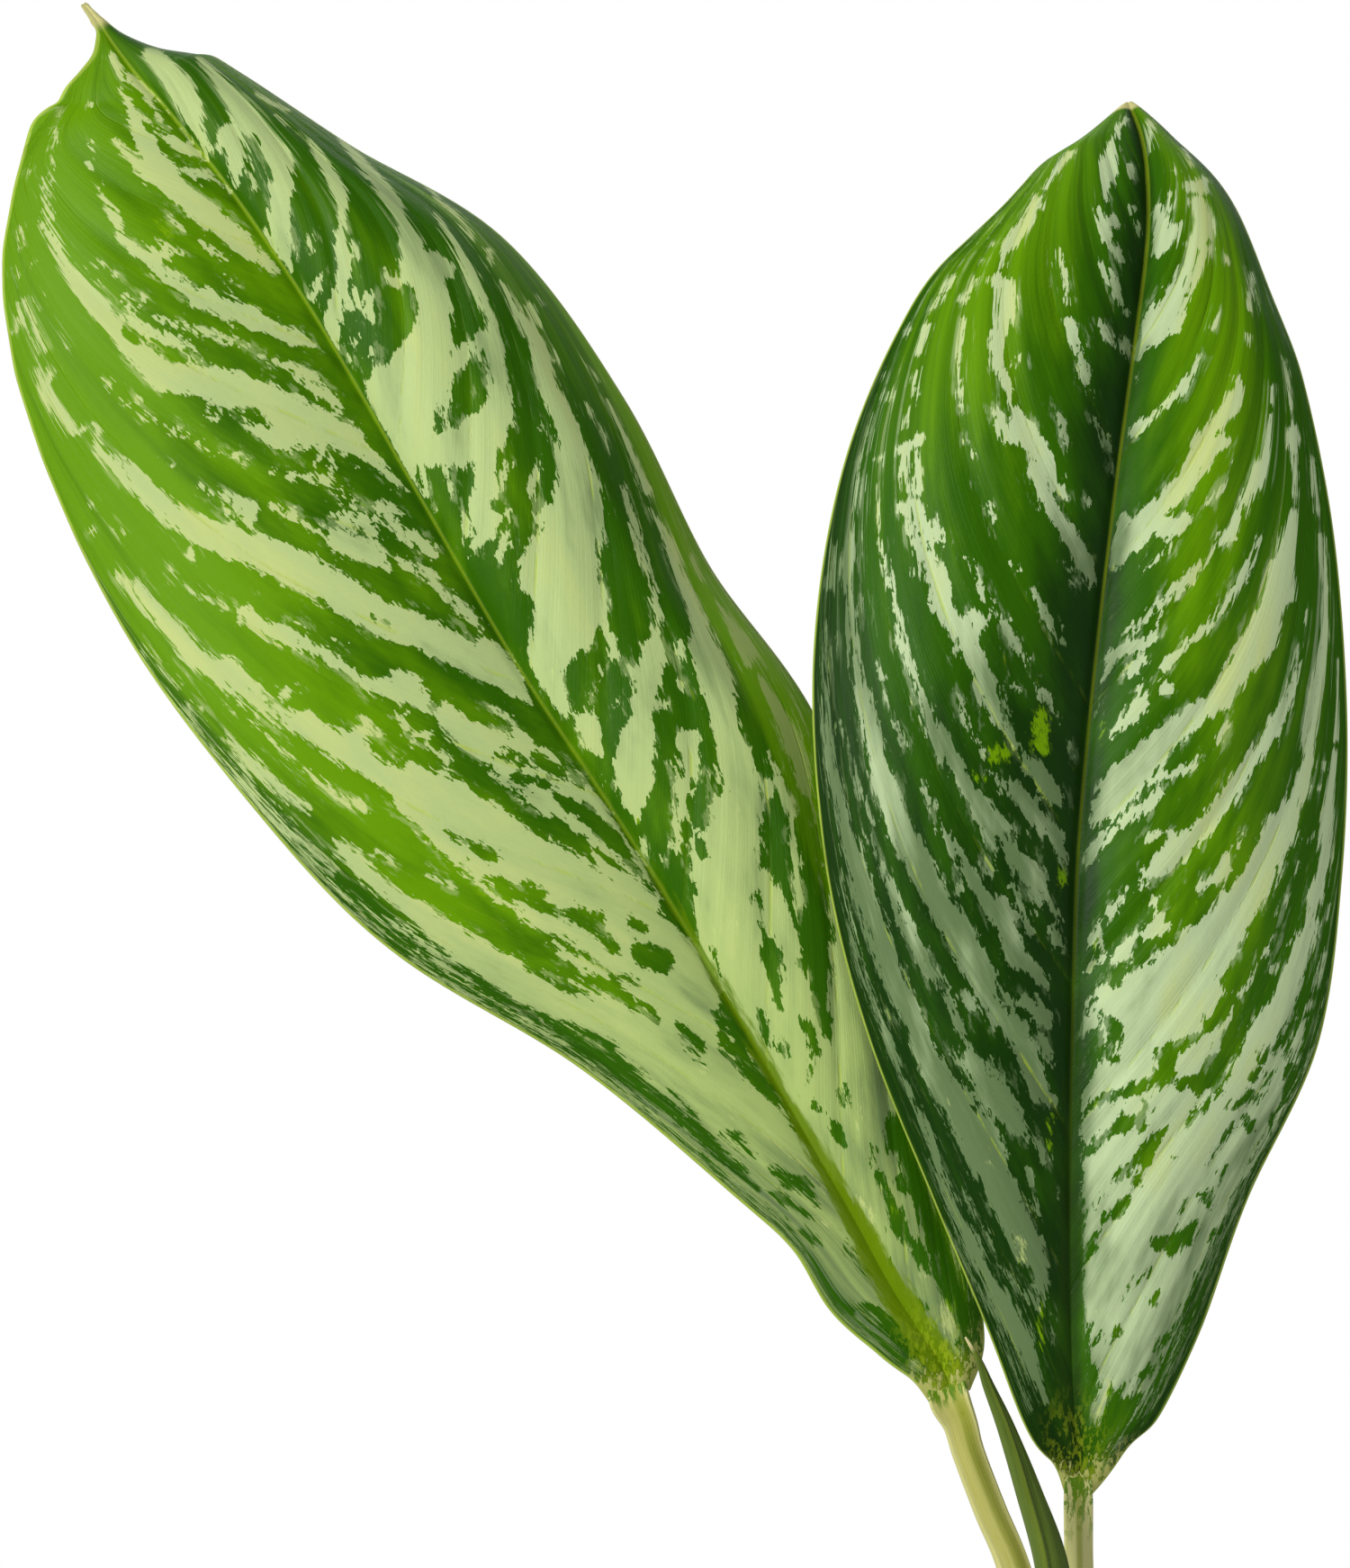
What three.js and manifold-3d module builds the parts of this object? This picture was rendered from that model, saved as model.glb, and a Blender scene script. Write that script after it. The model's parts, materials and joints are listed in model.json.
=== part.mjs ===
// A potted golden madonna Chinese evergreen, in millimetres, +Z up.
// A plain clay pot of soil carries a short cane. Two variegated leaves rise from the cane on sheathed petioles,
// and a furled new leaf stands between them. The leaves' upper faces look towards -Y.
// The origin is the centre of the pot's flat base.
import * as THREE from "three";
import { mergeVertices } from "three/addons/utils/BufferGeometryUtils.js";
import Module from "manifold-3d";

const wasm = await Module();
wasm.setup();

// Clearance between two pieces that touch on the real plant.
const SEAT_GAP = 0.3;

// Pot
const POT_HEIGHT = 118;
const POT_RIM_RADIUS = 68;
const POT_FOOT_RADIUS = 46;
const POT_WALL = 5.5;
const POT_FLOOR = 7;
const POT_BAND_HEIGHT = 22;
const POT_BAND_STEP = 3.5;
const POT_EDGE = 1.2;
const POT_SIDES = 60;
const DRAIN_HOLES = 3;
const DRAIN_RADIUS = 4.5;
const DRAIN_CIRCLE = 24;

// Soil
const SOIL_TOP = 106;
const SOIL_SIDES = 36;
const SOIL_RINGS = 9;
const SOIL_RELIEF = 1.1;
const SOIL_MOUND = 2.2;
const CLODS = 26;
const CLOD_RADIUS = [1.8, 3.4];

// Cane, by height up its axis
const CANE_BOTTOM = 80;
const CANE_RADIUS = 6.6;
const CANE_SCAR = 0.6;
const CANE_SIDES = 20;
const LEFT_NODE = 121;
const RIGHT_NODE = 131;
const CANE_IN_LEFT_SHEATH = 4.9;
const CANE_IN_RIGHT_SHEATH = 3.7;
const CANE_TOP = 163;

// Leaf blades
const BLADE_THICKNESS = 0.8;
const BLADE_STEPS_PER_STATION = 3;
const BLADE_COLUMNS = [0, 0.07, 0.2, 0.4, 0.6, 0.8, 1];
const KEEL_HEIGHT = [3.0, 0.3];
const KEEL_HALF_WIDTH = [2.4, 0.9];

// A blade is lofted through stations from its petiole to its tip. Each has the midrib's point and the half-widths
// measured along the curved surface, left and right as seen from the front. The slopes are in degrees: each half
// rises from the midrib towards the viewer and falls away at the margin, from base to tip.
const RIGHT_BLADE = {
  stations: [
    { at: [1, 3, 227.5], left: 2, right: 2 },
    { at: [1, 3.5, 231.5], left: 3.7, right: 5.7 },
    { at: [0.5, 3.5, 236.5], left: 7.1, right: 11.5 },
    { at: [0, 5, 249], left: 11.8, right: 18.4 },
    { at: [0, 7, 267], left: 19.9, right: 25.2 },
    { at: [0.5, 10, 288.5], left: 29.6, right: 35 },
    { at: [1.5, 15, 312.5], left: 37, right: 38.2 },
    { at: [4, 21, 337], left: 41, right: 37.4 },
    { at: [7.5, 30.5, 363], left: 40.2, right: 32.6 },
    { at: [11, 41, 385], left: 34.1, right: 25.2 },
    { at: [13, 49, 398], left: 26.4, right: 17.8 },
    { at: [13.5, 56, 407.5], left: 19.3, right: 12.1 },
    { at: [13, 61.5, 414], left: 13.8, right: 5 },
    { at: [11.5, 67, 419.5], left: 0.6, right: 0.6 },
  ],
  facing: [[0, -1, 0.1], [0, -1, 0.3]],
  rise: { left: [32, 30], right: [32, 28] },
  fall: { left: [-38, -34], right: [-25, -42] },
  wave: { left: 0.1, right: 0.5, height: 1.2, count: 2.5 },
};
const LEFT_BLADE = {
  stations: [
    { at: [-15.5, 9, 240], left: 3.3, right: 2.6 },
    { at: [-17.4, 9.8, 244.5], left: 4.7, right: 7.4 },
    { at: [-20.4, 11, 249], left: 6.6, right: 11 },
    { at: [-24.5, 13, 255.5], left: 9, right: 13.8 },
    { at: [-29, 15, 263.8], left: 9.6, right: 16.4 },
    { at: [-34, 17, 272.5], left: 12.9, right: 19.4 },
    { at: [-47, 23, 295], left: 22.9, right: 27.5 },
    { at: [-60.5, 29.5, 317], left: 36.5, right: 34.6 },
    { at: [-75, 36.5, 339], left: 42.4, right: 34.7 },
    { at: [-89, 44, 363], left: 46, right: 37 },
    { at: [-103, 53, 387], left: 44.8, right: 34 },
    { at: [-115, 60.5, 405], left: 39.8, right: 21.8 },
    { at: [-125.5, 67.5, 418.5], left: 31.6, right: 14.6 },
    { at: [-129, 69.8, 422.4], left: 26.4, right: 11.4 },
    { at: [-131.6, 71.6, 425.7], left: 14, right: 6.2 },
    { at: [-134, 73.5, 429], left: 3.5, right: 2.7 },
    { at: [-136, 75.5, 432], left: 1.3, right: 1.1 },
    { at: [-138, 77, 434.5], left: 0.6, right: 0.6 },
  ],
  facing: [[0, -1, 0.1], [0, -1, 0.3]],
  rise: { left: [32, 20], right: [38, 35] },
  fall: { left: [-12, -26], right: [-35, -60] },
  wave: { left: 0.1, right: 0.5, height: 1.5, count: 2.5 },
};

// A petiole is a crescent in section. Its thick back stands at `at`, facing the compass angle `out`, and its two
// wings wrap the parts inside it, `wrap` from the wrapped axis to the back's middle. The wings, in degrees on
// each side of the back, shrink upwards until a nearly round stalk with a flat front is left.
const PETIOLE_COLUMNS = 9;
const PETIOLE_STEPS_PER_STATION = 4;
const WING_THICKNESS = 0.7;
const RIGHT_PETIOLE = [
  { at: [2.65, 4.59, RIGHT_NODE + SEAT_GAP], out: 60, wrap: 5.3, wings: [150, 150], thick: 2.4 },
  { at: [2.65, 4.59, 150], out: 60, wrap: 5.3, wings: [148, 148], thick: 2.4 },
  { at: [2.65, 4.59, 168], out: 60, wrap: 5.3, wings: [132, 132], thick: 2.6 },
  { at: [2.5, 4.9, 182], out: 64, wrap: 5.4, wings: [88, 88], thick: 3 },
  { at: [2, 4.8, 194], out: 72, wrap: 6, wings: [38, 38], thick: 3.4 },
  { at: [1.5, 4.4, 206], out: 82, wrap: 7.5, wings: [21, 21], thick: 3.7 },
  { at: [1, 4.2, 217.4], out: 90, wrap: 8, wings: [16, 16], thick: 3.7 },
  { at: [0.95, 4.84, 226.92], out: 90, wrap: 8, wings: [16, 16], thick: 3.7 },
];
const LEFT_PETIOLE = [
  { at: [-4.67, 4.67, LEFT_NODE + SEAT_GAP], out: 135, wrap: 6.6, wings: [36, 120], thick: 2.6 },
  { at: [-4.67, 4.67, 142], out: 135, wrap: 6.6, wings: [36, 120], thick: 2.6 },
  { at: [-4.67, 4.67, 162], out: 135, wrap: 6.6, wings: [35, 106], thick: 2.8 },
  { at: [-4.85, 5.1, 179], out: 133, wrap: 7.1, wings: [32, 68], thick: 3.2 },
  { at: [-4.75, 5.9, 194], out: 126, wrap: 7.4, wings: [26, 34], thick: 3.7 },
  { at: [-5.2, 7, 206], out: 114, wrap: 7.8, wings: [21, 22], thick: 4 },
  { at: [-7.9, 8.4, 217.3], out: 104, wrap: 8, wings: [18.5, 18.5], thick: 4.1 },
  { at: [-10.8, 9.2, 224.6], out: 98, wrap: 8, wings: [18.5, 18.5], thick: 4.1 },
  { at: [-13.6, 9.8, 232.2], out: 94, wrap: 8, wings: [18.5, 18.5], thick: 4.1 },
  { at: [-14.6, 10.2, 236], out: 92, wrap: 8, wings: [19.5, 20.5], thick: 4.1 },
  { at: [-15.75, 10.85, 239.15], out: 90, wrap: 8, wings: [22, 27], thick: 4.1 },
];

// The furled new leaf: its axis and radius from the cane's tip to its point, and how its rolled margin turns.
const SPEAR_SIDES = 14;
const SPEAR_STEPS_PER_STATION = 3;
const SPEAR_OVERLAP = 0.14;
const SPEAR_SEAM_TURN = [200, 330];
const SPEAR = [
  { at: [0, 0, CANE_TOP + SEAT_GAP], radius: 2.3 },
  { at: [0, 0, 180], radius: 2.6 },
  { at: [-0.5, -1, 195], radius: 2.6 },
  { at: [-1.6, -2.6, 207], radius: 2.4 },
  { at: [-2.9, -3.5, 218.4], radius: 2.25 },
  { at: [-6, -3.3, 228.3], radius: 1.75 },
  { at: [-8.9, -2.8, 236.5], radius: 1.22 },
  { at: [-11.3, -2.4, 242.2], radius: 0.8 },
  { at: [-12.6, -2.2, 245.6], radius: 0.45 },
  { at: [-14.4, -2, 248.7], radius: 0.15 },
];

const lerp = THREE.MathUtils.lerp;
const radians = THREE.MathUtils.degToRad;

// A small repeatable random stream.
function randomStream(seed) {
  let state = seed;
  return () => {
    state = (state * 1664525 + 1013904223) % 4294967296;
    return state / 4294967296;
  };
}

// The value of one numeric field of the stations at share `t` of their count, by a uniform Catmull-Rom spline.
function along(values, t) {
  const last = values.length - 1;
  const span = Math.min(Math.floor(t * last), last - 1);
  const f = t * last - span;
  const before = span > 0 ? values[span - 1] : 2 * values[0] - values[1];
  const after = span + 2 <= last ? values[span + 2] : 2 * values[last] - values[last - 1];
  const [p1, p2] = [values[span], values[span + 1]];
  const a = (p2 - before) / 2;
  const b = (after - p1) / 2;
  return p1 + a * f + (3 * (p2 - p1) - 2 * a - b) * f ** 2 + (2 * (p1 - p2) + a + b) * f ** 3;
}

function pathOf(stations) {
  const points = stations.map((s) => new THREE.Vector3(...s.at));
  return new THREE.CatmullRomCurve3(points, false, "catmullrom", 0.5);
}

// A closed body skinned over ribbon sections. Each section has the same number of points on its two faces, and
// both faces are split into triangles alike.
function ribbonGeometry(sections) {
  const across = sections[0].front.length;
  const ring = 2 * across;
  const positions = [];
  for (const { front, back } of sections) {
    for (const p of [...front, ...[...back].reverse()]) positions.push(p.x, p.y, p.z);
  }
  const index = [];
  const quad = (a, b, c, d) => index.push(a, b, c, a, c, d);
  for (let i = 0; i + 1 < sections.length; i++) {
    const low = i * ring;
    const high = low + ring;
    for (let j = 0; j + 1 < across; j++) {
      quad(low + j, low + j + 1, high + j + 1, high + j);
      const [near, far] = [ring - 2 - j, ring - 1 - j];
      index.push(low + near, high + far, high + near, low + near, low + far, high + far);
    }
    quad(low + across - 1, low + across, high + across, high + across - 1);
    quad(low + ring - 1, low, high, high + ring - 1);
  }
  const top = (sections.length - 1) * ring;
  for (let j = 0; j + 1 < across; j++) {
    quad(j, ring - 1 - j, ring - 2 - j, j + 1);
    quad(top + j, top + j + 1, top + ring - 2 - j, top + ring - 1 - j);
  }
  return new THREE.BufferGeometry()
    .setAttribute("position", new THREE.Float32BufferAttribute(positions, 3))
    .setIndex(index);
}

// A closed body skinned over rings of points that run anticlockwise about its axis, with a fan at each end.
function ringGeometry(rings) {
  const sides = rings[0].length;
  const positions = rings.flat().flatMap((p) => [p.x, p.y, p.z]);
  const index = [];
  for (let i = 0; i + 1 < rings.length; i++) {
    for (let j = 0; j < sides; j++) {
      const [a, b] = [i * sides + j, i * sides + ((j + 1) % sides)];
      index.push(a, b, b + sides, a, b + sides, a + sides);
    }
  }
  for (const [ring, start] of [[rings[0], 0], [rings.at(-1), (rings.length - 1) * sides]]) {
    const middle = ring.reduce((sum, p) => sum.add(p), new THREE.Vector3()).divideScalar(sides);
    const centre = positions.length / 3;
    positions.push(middle.x, middle.y, middle.z);
    for (let j = 0; j < sides; j++) {
      const [a, b] = [start + j, start + ((j + 1) % sides)];
      index.push(...(start === 0 ? [b, a, centre] : [a, b, centre]));
    }
  }
  return new THREE.BufferGeometry()
    .setAttribute("position", new THREE.Float32BufferAttribute(positions, 3))
    .setIndex(index);
}

function solidFrom(geometry) {
  const bare = geometry.clone();
  bare.deleteAttribute("normal");
  bare.deleteAttribute("uv");
  const merged = mergeVertices(bare, 1e-3);
  return new wasm.Manifold(
    new wasm.Mesh({
      numProp: 3,
      vertProperties: merged.attributes.position.array,
      triVerts: new Uint32Array(merged.index.array),
    }),
  );
}

function geometryFrom(solid) {
  const mesh = solid.getMesh();
  return new THREE.BufferGeometry()
    .setAttribute("position", new THREE.BufferAttribute(mesh.vertProperties, 3))
    .setIndex(new THREE.BufferAttribute(mesh.triVerts, 1));
}

// A profile of [radius, height] pairs turned about +Z.
function turned(profile, sides) {
  const points = profile.map(([radius, height]) => new THREE.Vector2(radius, height));
  return new THREE.LatheGeometry(points, sides).rotateX(Math.PI / 2);
}

function uprightCylinder(radius, low, high, sides) {
  return new THREE.CylinderGeometry(radius, radius, high - low, sides)
    .rotateX(Math.PI / 2)
    .translate(0, 0, (low + high) / 2);
}

// The pot's inner wall, which the soil follows.
const innerRadius = (height) => {
  const foot = POT_FOOT_RADIUS - POT_WALL;
  const mouth = POT_RIM_RADIUS - POT_BAND_STEP - POT_WALL + 1;
  return lerp(foot, mouth, height / POT_HEIGHT);
};

function potGeometry() {
  const bandLow = POT_HEIGHT - POT_BAND_HEIGHT;
  const neck = POT_RIM_RADIUS - POT_BAND_STEP - 2;
  const profile = [
    [0, 0],
    [POT_FOOT_RADIUS - POT_EDGE, 0],
    [POT_FOOT_RADIUS, POT_EDGE],
    [neck, bandLow],
    [POT_RIM_RADIUS - POT_EDGE - 1, bandLow],
    [POT_RIM_RADIUS - 1, bandLow + POT_EDGE],
    [POT_RIM_RADIUS, POT_HEIGHT - 2 * POT_EDGE],
    [POT_RIM_RADIUS - POT_EDGE, POT_HEIGHT - POT_EDGE / 2],
    [POT_RIM_RADIUS - 2 * POT_EDGE, POT_HEIGHT],
    [innerRadius(POT_HEIGHT) + POT_EDGE, POT_HEIGHT],
    [innerRadius(POT_HEIGHT), POT_HEIGHT - POT_EDGE],
    [innerRadius(POT_FLOOR) + 1, POT_FLOOR + POT_EDGE * 2],
    [innerRadius(POT_FLOOR) - 2 * POT_EDGE, POT_FLOOR],
    [0, POT_FLOOR],
  ];
  let pot = solidFrom(turned(profile, POT_SIDES));
  for (let i = 0; i < DRAIN_HOLES; i++) {
    const hole = uprightCylinder(DRAIN_RADIUS, -1, POT_FLOOR + 1, 16);
    const turn = ((i + 0.25) * 2 * Math.PI) / DRAIN_HOLES;
    hole.translate(DRAIN_CIRCLE * Math.cos(turn), DRAIN_CIRCLE * Math.sin(turn), 0);
    pot = pot.subtract(solidFrom(hole));
  }
  return geometryFrom(pot);
}

// Low lumps over the soil, and a mound round the cane.
function soilHeight(x, y) {
  const radius = Math.hypot(x, y);
  const lumps =
    Math.sin(0.21 * x + 1.3) * Math.cos(0.19 * y - 0.4) +
    0.6 * Math.sin(0.43 * x - 0.31 * y) +
    0.4 * Math.cos(0.5 * x + 0.57 * y + 2);
  return SOIL_TOP + SOIL_RELIEF * lumps + SOIL_MOUND * Math.exp(-((radius / 22) ** 2));
}

function soilGeometry() {
  const low = POT_FLOOR + SEAT_GAP;
  const edge = innerRadius(SOIL_TOP) - SEAT_GAP;
  const profile = [
    [0, low],
    [innerRadius(POT_FLOOR) - 4, low],
    [innerRadius(POT_FLOOR) + 1.3 - SEAT_GAP, low + 4],
    [edge, SOIL_TOP],
  ];
  for (let ring = SOIL_RINGS - 1; ring >= 0; ring--) profile.push([(edge * ring) / SOIL_RINGS, SOIL_TOP]);
  const ground = mergeVertices(turned(profile, SOIL_SIDES).deleteAttribute("normal").deleteAttribute("uv"), 1e-3);
  const place = ground.attributes.position;
  for (let i = 0; i < place.count; i++) {
    const [x, y] = [place.getX(i), place.getY(i)];
    const inside = Math.hypot(x, y) < edge - 1;
    if (place.getZ(i) > SOIL_TOP - 1 && inside) place.setZ(i, soilHeight(x, y));
  }
  let soil = solidFrom(ground);
  const random = randomStream(7);
  for (let i = 0; i < CLODS; i++) {
    const radius = lerp(...CLOD_RADIUS, random());
    const reach = lerp(15, edge - 7, Math.sqrt(random()));
    const turn = 2 * Math.PI * random();
    const [x, y] = [reach * Math.cos(turn), reach * Math.sin(turn)];
    const clod = new THREE.IcosahedronGeometry(radius, 0);
    clod.scale(1, lerp(0.7, 1, random()), lerp(0.5, 0.8, random())).rotateZ(turn * 5);
    clod.translate(x, y, soilHeight(x, y) - 0.15 * radius);
    soil = soil.add(solidFrom(clod));
  }
  const hole = uprightCylinder(CANE_RADIUS + CANE_SCAR + SEAT_GAP, CANE_BOTTOM - SEAT_GAP, SOIL_TOP + 20, 20);
  return geometryFrom(soil.subtract(solidFrom(hole)));
}

// The cane, ringed with the scars of older leaves. It narrows at each node, where a sheath starts.
function caneGeometry() {
  const profile = [[0, CANE_BOTTOM], [CANE_RADIUS - 1.5, CANE_BOTTOM], [CANE_RADIUS - 0.3, CANE_BOTTOM + 2]];
  for (const scar of [SOIL_TOP + 3.5, SOIL_TOP + 10]) {
    profile.push([CANE_RADIUS - 0.2, scar - 1.6], [CANE_RADIUS + CANE_SCAR, scar - 0.3]);
    profile.push([CANE_RADIUS + CANE_SCAR, scar + 0.4], [CANE_RADIUS - 0.4, scar + 1.2]);
  }
  profile.push([CANE_RADIUS + 0.6, LEFT_NODE - 1.2], [CANE_RADIUS + 0.9, LEFT_NODE]);
  profile.push([CANE_IN_LEFT_SHEATH, LEFT_NODE], [CANE_IN_LEFT_SHEATH, RIGHT_NODE]);
  profile.push([CANE_IN_RIGHT_SHEATH, RIGHT_NODE], [CANE_IN_RIGHT_SHEATH, CANE_TOP - 4]);
  profile.push([CANE_IN_RIGHT_SHEATH - 1, CANE_TOP], [0, CANE_TOP]);
  return turned(profile, CANE_SIDES);
}

// Distance across and height of a point at share `t` of a half-width of 1, as the slope eases from rise to fall.
function halfSection(t, rise, fall) {
  const steps = 24;
  let [across, height] = [0, 0];
  for (let k = 0; k < steps; k++) {
    const share = (t * (k + 0.5)) / steps;
    const slope = radians(fall * share + rise * (1 - share) ** 2);
    across += (t * Math.cos(slope)) / steps;
    height += (t * Math.sin(slope)) / steps;
  }
  return { across, height, slope: radians(fall * t + rise * (1 - t) ** 2) };
}

function bladeGeometry({ stations, facing, rise, fall, wave }) {
  const path = pathOf(stations);
  const steps = (stations.length - 1) * BLADE_STEPS_PER_STATION;
  const lengths = path.getLengths(steps);
  const sections = [];
  for (let i = 0; i <= steps; i++) {
    const t = i / steps;
    const share = lengths[i] / lengths[steps];
    const middle = path.getPoint(t);
    const tangent = path.getTangent(t);
    const face = new THREE.Vector3(...facing[0]).lerp(new THREE.Vector3(...facing[1]), t);
    const side = tangent.clone().cross(face).normalize();
    const normal = side.clone().cross(tangent);
    const keelHeight = lerp(...KEEL_HEIGHT, share);
    const keelHalf = lerp(...KEEL_HALF_WIDTH, share);
    const front = [];
    const back = [];
    for (const [hand, sign] of [["left", -1], ["right", 1]]) {
      const width = along(stations.map((s) => s[hand]), t);
      const ripple = wave.height * Math.sin(Math.PI * share) ** 0.7 * Math.sin(2 * Math.PI * (wave.count * share + wave[hand]));
      const half = BLADE_COLUMNS.map((column) => {
        const { across, height, slope } = halfSection(column, lerp(...rise[hand], share), lerp(...fall[hand], share));
        const x = across * width;
        const keel = keelHeight * Math.max(0, 1 - (x / keelHalf) ** 2);
        const upper = middle.clone().addScaledVector(side, sign * x);
        upper.addScaledVector(normal, height * width + ripple * column ** 2);
        const depth = BLADE_THICKNESS + keel;
        const tilt = column === 0 ? 0 : slope;
        const lower = upper.clone().addScaledVector(normal, -depth * Math.cos(tilt));
        lower.addScaledVector(side, sign * depth * Math.sin(tilt));
        return { upper, lower };
      });
      if (sign < 0) half.reverse();
      else half.shift();
      front.push(...half.map((p) => p.upper));
      back.push(...half.map((p) => p.lower));
    }
    sections.push({ front, back });
  }
  return ribbonGeometry(sections);
}

function petioleGeometry(stations) {
  const path = pathOf(stations);
  const steps = (stations.length - 1) * PETIOLE_STEPS_PER_STATION;
  const field = (name, t) => along(stations.map((s) => s[name]), t);
  const wing = (which, t) => along(stations.map((s) => s.wings[which]), t);
  const sections = [];
  for (let i = 0; i <= steps; i++) {
    const t = i / steps;
    const tangent = path.getTangent(t);
    const compass = radians(field("out", t));
    const outward = new THREE.Vector3(Math.cos(compass), Math.sin(compass), 0);
    outward.addScaledVector(tangent, -outward.dot(tangent)).normalize();
    const sideways = tangent.clone().cross(outward);
    const [wrap, thick] = [field("wrap", t), field("thick", t)];
    const wings = [wing(0, t), wing(1, t)];
    const axis = path.getPoint(t).addScaledVector(outward, -wrap);
    const inner = wrap - thick / 2;
    const roundness = 2 + Math.max(0, (wings[0] + wings[1]) / 2 - 30) / 12;
    const front = [];
    const back = [];
    for (let j = 0; j <= PETIOLE_COLUMNS; j++) {
      const share = (2 * j) / PETIOLE_COLUMNS - 1;
      const angle = radians(share * wings[share < 0 ? 0 : 1]);
      const swell = Math.exp(-(((wrap * angle) / thick) ** 2));
      const edge = Math.sqrt(1 - 0.9 * Math.abs(share) ** roundness);
      const depth = lerp(WING_THICKNESS, thick, swell) * edge;
      const direction = outward.clone().multiplyScalar(Math.cos(angle)).addScaledVector(sideways, Math.sin(angle));
      front.push(axis.clone().addScaledVector(direction, inner + depth));
      back.push(axis.clone().addScaledVector(direction, inner));
    }
    sections.push({ front, back });
  }
  return ribbonGeometry(sections);
}

// The rolled leaf is a spiral in section: its outer margin laps over the roll and winds slowly round it.
function spearGeometry() {
  const path = pathOf(SPEAR);
  const steps = (SPEAR.length - 1) * SPEAR_STEPS_PER_STATION;
  const rings = [];
  for (let i = 0; i <= steps; i++) {
    const t = i / steps;
    const tangent = path.getTangent(t);
    const across = new THREE.Vector3(1, 0, 0).addScaledVector(tangent, -tangent.x).normalize();
    const ahead = tangent.clone().cross(across);
    const middle = path.getPoint(t);
    const radius = along(SPEAR.map((s) => s.radius), t);
    const seam = radians(lerp(...SPEAR_SEAM_TURN, t));
    const ring = [];
    for (let j = 0; j < SPEAR_SIDES; j++) {
      const turn = seam + (2 * Math.PI * (j + 0.5)) / SPEAR_SIDES;
      const reach = radius * (1 + SPEAR_OVERLAP * ((j + 0.5) / SPEAR_SIDES - 0.5));
      const point = middle.clone().addScaledVector(across, reach * Math.cos(turn));
      ring.push(point.addScaledVector(ahead, reach * Math.sin(turn)));
    }
    rings.push(ring);
  }
  return ringGeometry(rings);
}

const finish = (color, roughness) => new THREE.MeshStandardMaterial({ color, roughness, metalness: 0 });
const CLAY = finish(0xb5694a, 0.85);
const EARTH = finish(0x2e221a, 0.95);
const GREEN_CANE = finish(0x8a9a5a, 0.6);
const CREAM_STALK = finish(0xc3c38a, 0.45);
const VARIEGATED = finish(0x6f9a4c, 0.35);
const FURLED_GREEN = finish(0x5c7a3c, 0.4);

function piece(name, geometry, material) {
  const mesh = new THREE.Mesh(geometry, material);
  mesh.name = name;
  return mesh;
}

const plant = new THREE.Group();
plant.add(
  piece("pot", potGeometry(), CLAY),
  piece("soil", soilGeometry(), EARTH),
  piece("cane", caneGeometry(), GREEN_CANE),
  piece("petiole_right", petioleGeometry(RIGHT_PETIOLE), CREAM_STALK),
  piece("blade_right", bladeGeometry(RIGHT_BLADE), VARIEGATED),
  piece("petiole_left", petioleGeometry(LEFT_PETIOLE), CREAM_STALK),
  piece("blade_left", bladeGeometry(LEFT_BLADE), VARIEGATED),
  piece("furled_leaf", spearGeometry(), FURLED_GREEN),
);

export default plant;
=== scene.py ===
"""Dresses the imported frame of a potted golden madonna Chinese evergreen, and sets its stage.

Every object is in metres, in the frame's own axes, with +Z up and the leaves' upper faces towards -Y.
"""
import json
import math

import bpy
import numpy as np
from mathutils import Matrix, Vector

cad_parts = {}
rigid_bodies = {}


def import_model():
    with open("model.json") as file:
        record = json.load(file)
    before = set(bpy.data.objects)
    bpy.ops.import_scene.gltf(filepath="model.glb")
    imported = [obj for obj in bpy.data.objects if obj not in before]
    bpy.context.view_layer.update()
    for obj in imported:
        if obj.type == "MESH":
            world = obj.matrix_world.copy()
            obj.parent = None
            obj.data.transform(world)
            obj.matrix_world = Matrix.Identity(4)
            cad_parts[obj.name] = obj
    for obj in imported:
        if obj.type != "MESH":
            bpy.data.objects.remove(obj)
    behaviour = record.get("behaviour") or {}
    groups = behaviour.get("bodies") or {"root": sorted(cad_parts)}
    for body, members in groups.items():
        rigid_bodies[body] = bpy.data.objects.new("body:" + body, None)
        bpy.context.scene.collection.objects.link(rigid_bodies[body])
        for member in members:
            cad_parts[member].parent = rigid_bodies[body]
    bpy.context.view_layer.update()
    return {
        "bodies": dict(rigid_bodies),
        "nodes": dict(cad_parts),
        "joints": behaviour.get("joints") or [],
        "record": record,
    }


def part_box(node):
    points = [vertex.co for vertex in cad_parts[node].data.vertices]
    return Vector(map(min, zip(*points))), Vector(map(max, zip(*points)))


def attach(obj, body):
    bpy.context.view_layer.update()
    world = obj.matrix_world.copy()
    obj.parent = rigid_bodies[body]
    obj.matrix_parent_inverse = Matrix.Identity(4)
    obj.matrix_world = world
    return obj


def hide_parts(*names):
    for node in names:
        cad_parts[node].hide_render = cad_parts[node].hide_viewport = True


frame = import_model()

bl_info = {
    "name": "Potted Chinese evergreen",
    "version": (1, 0, 0),
    "blender": (4, 5, 0),
    "location": "View3D > Sidebar > Evergreen",
    "description": "Builds the finished look of a potted, variegated Chinese evergreen",
    "category": "Object",
}

_, POT_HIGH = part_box("pot")
CANE_LOW, CANE_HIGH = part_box("cane")
BODY = "root"
MM = 0.001

# Millimetres to one unit of a UV map, so that a material can give the size of its grain in millimetres.
MAP_UNIT = 100

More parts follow.
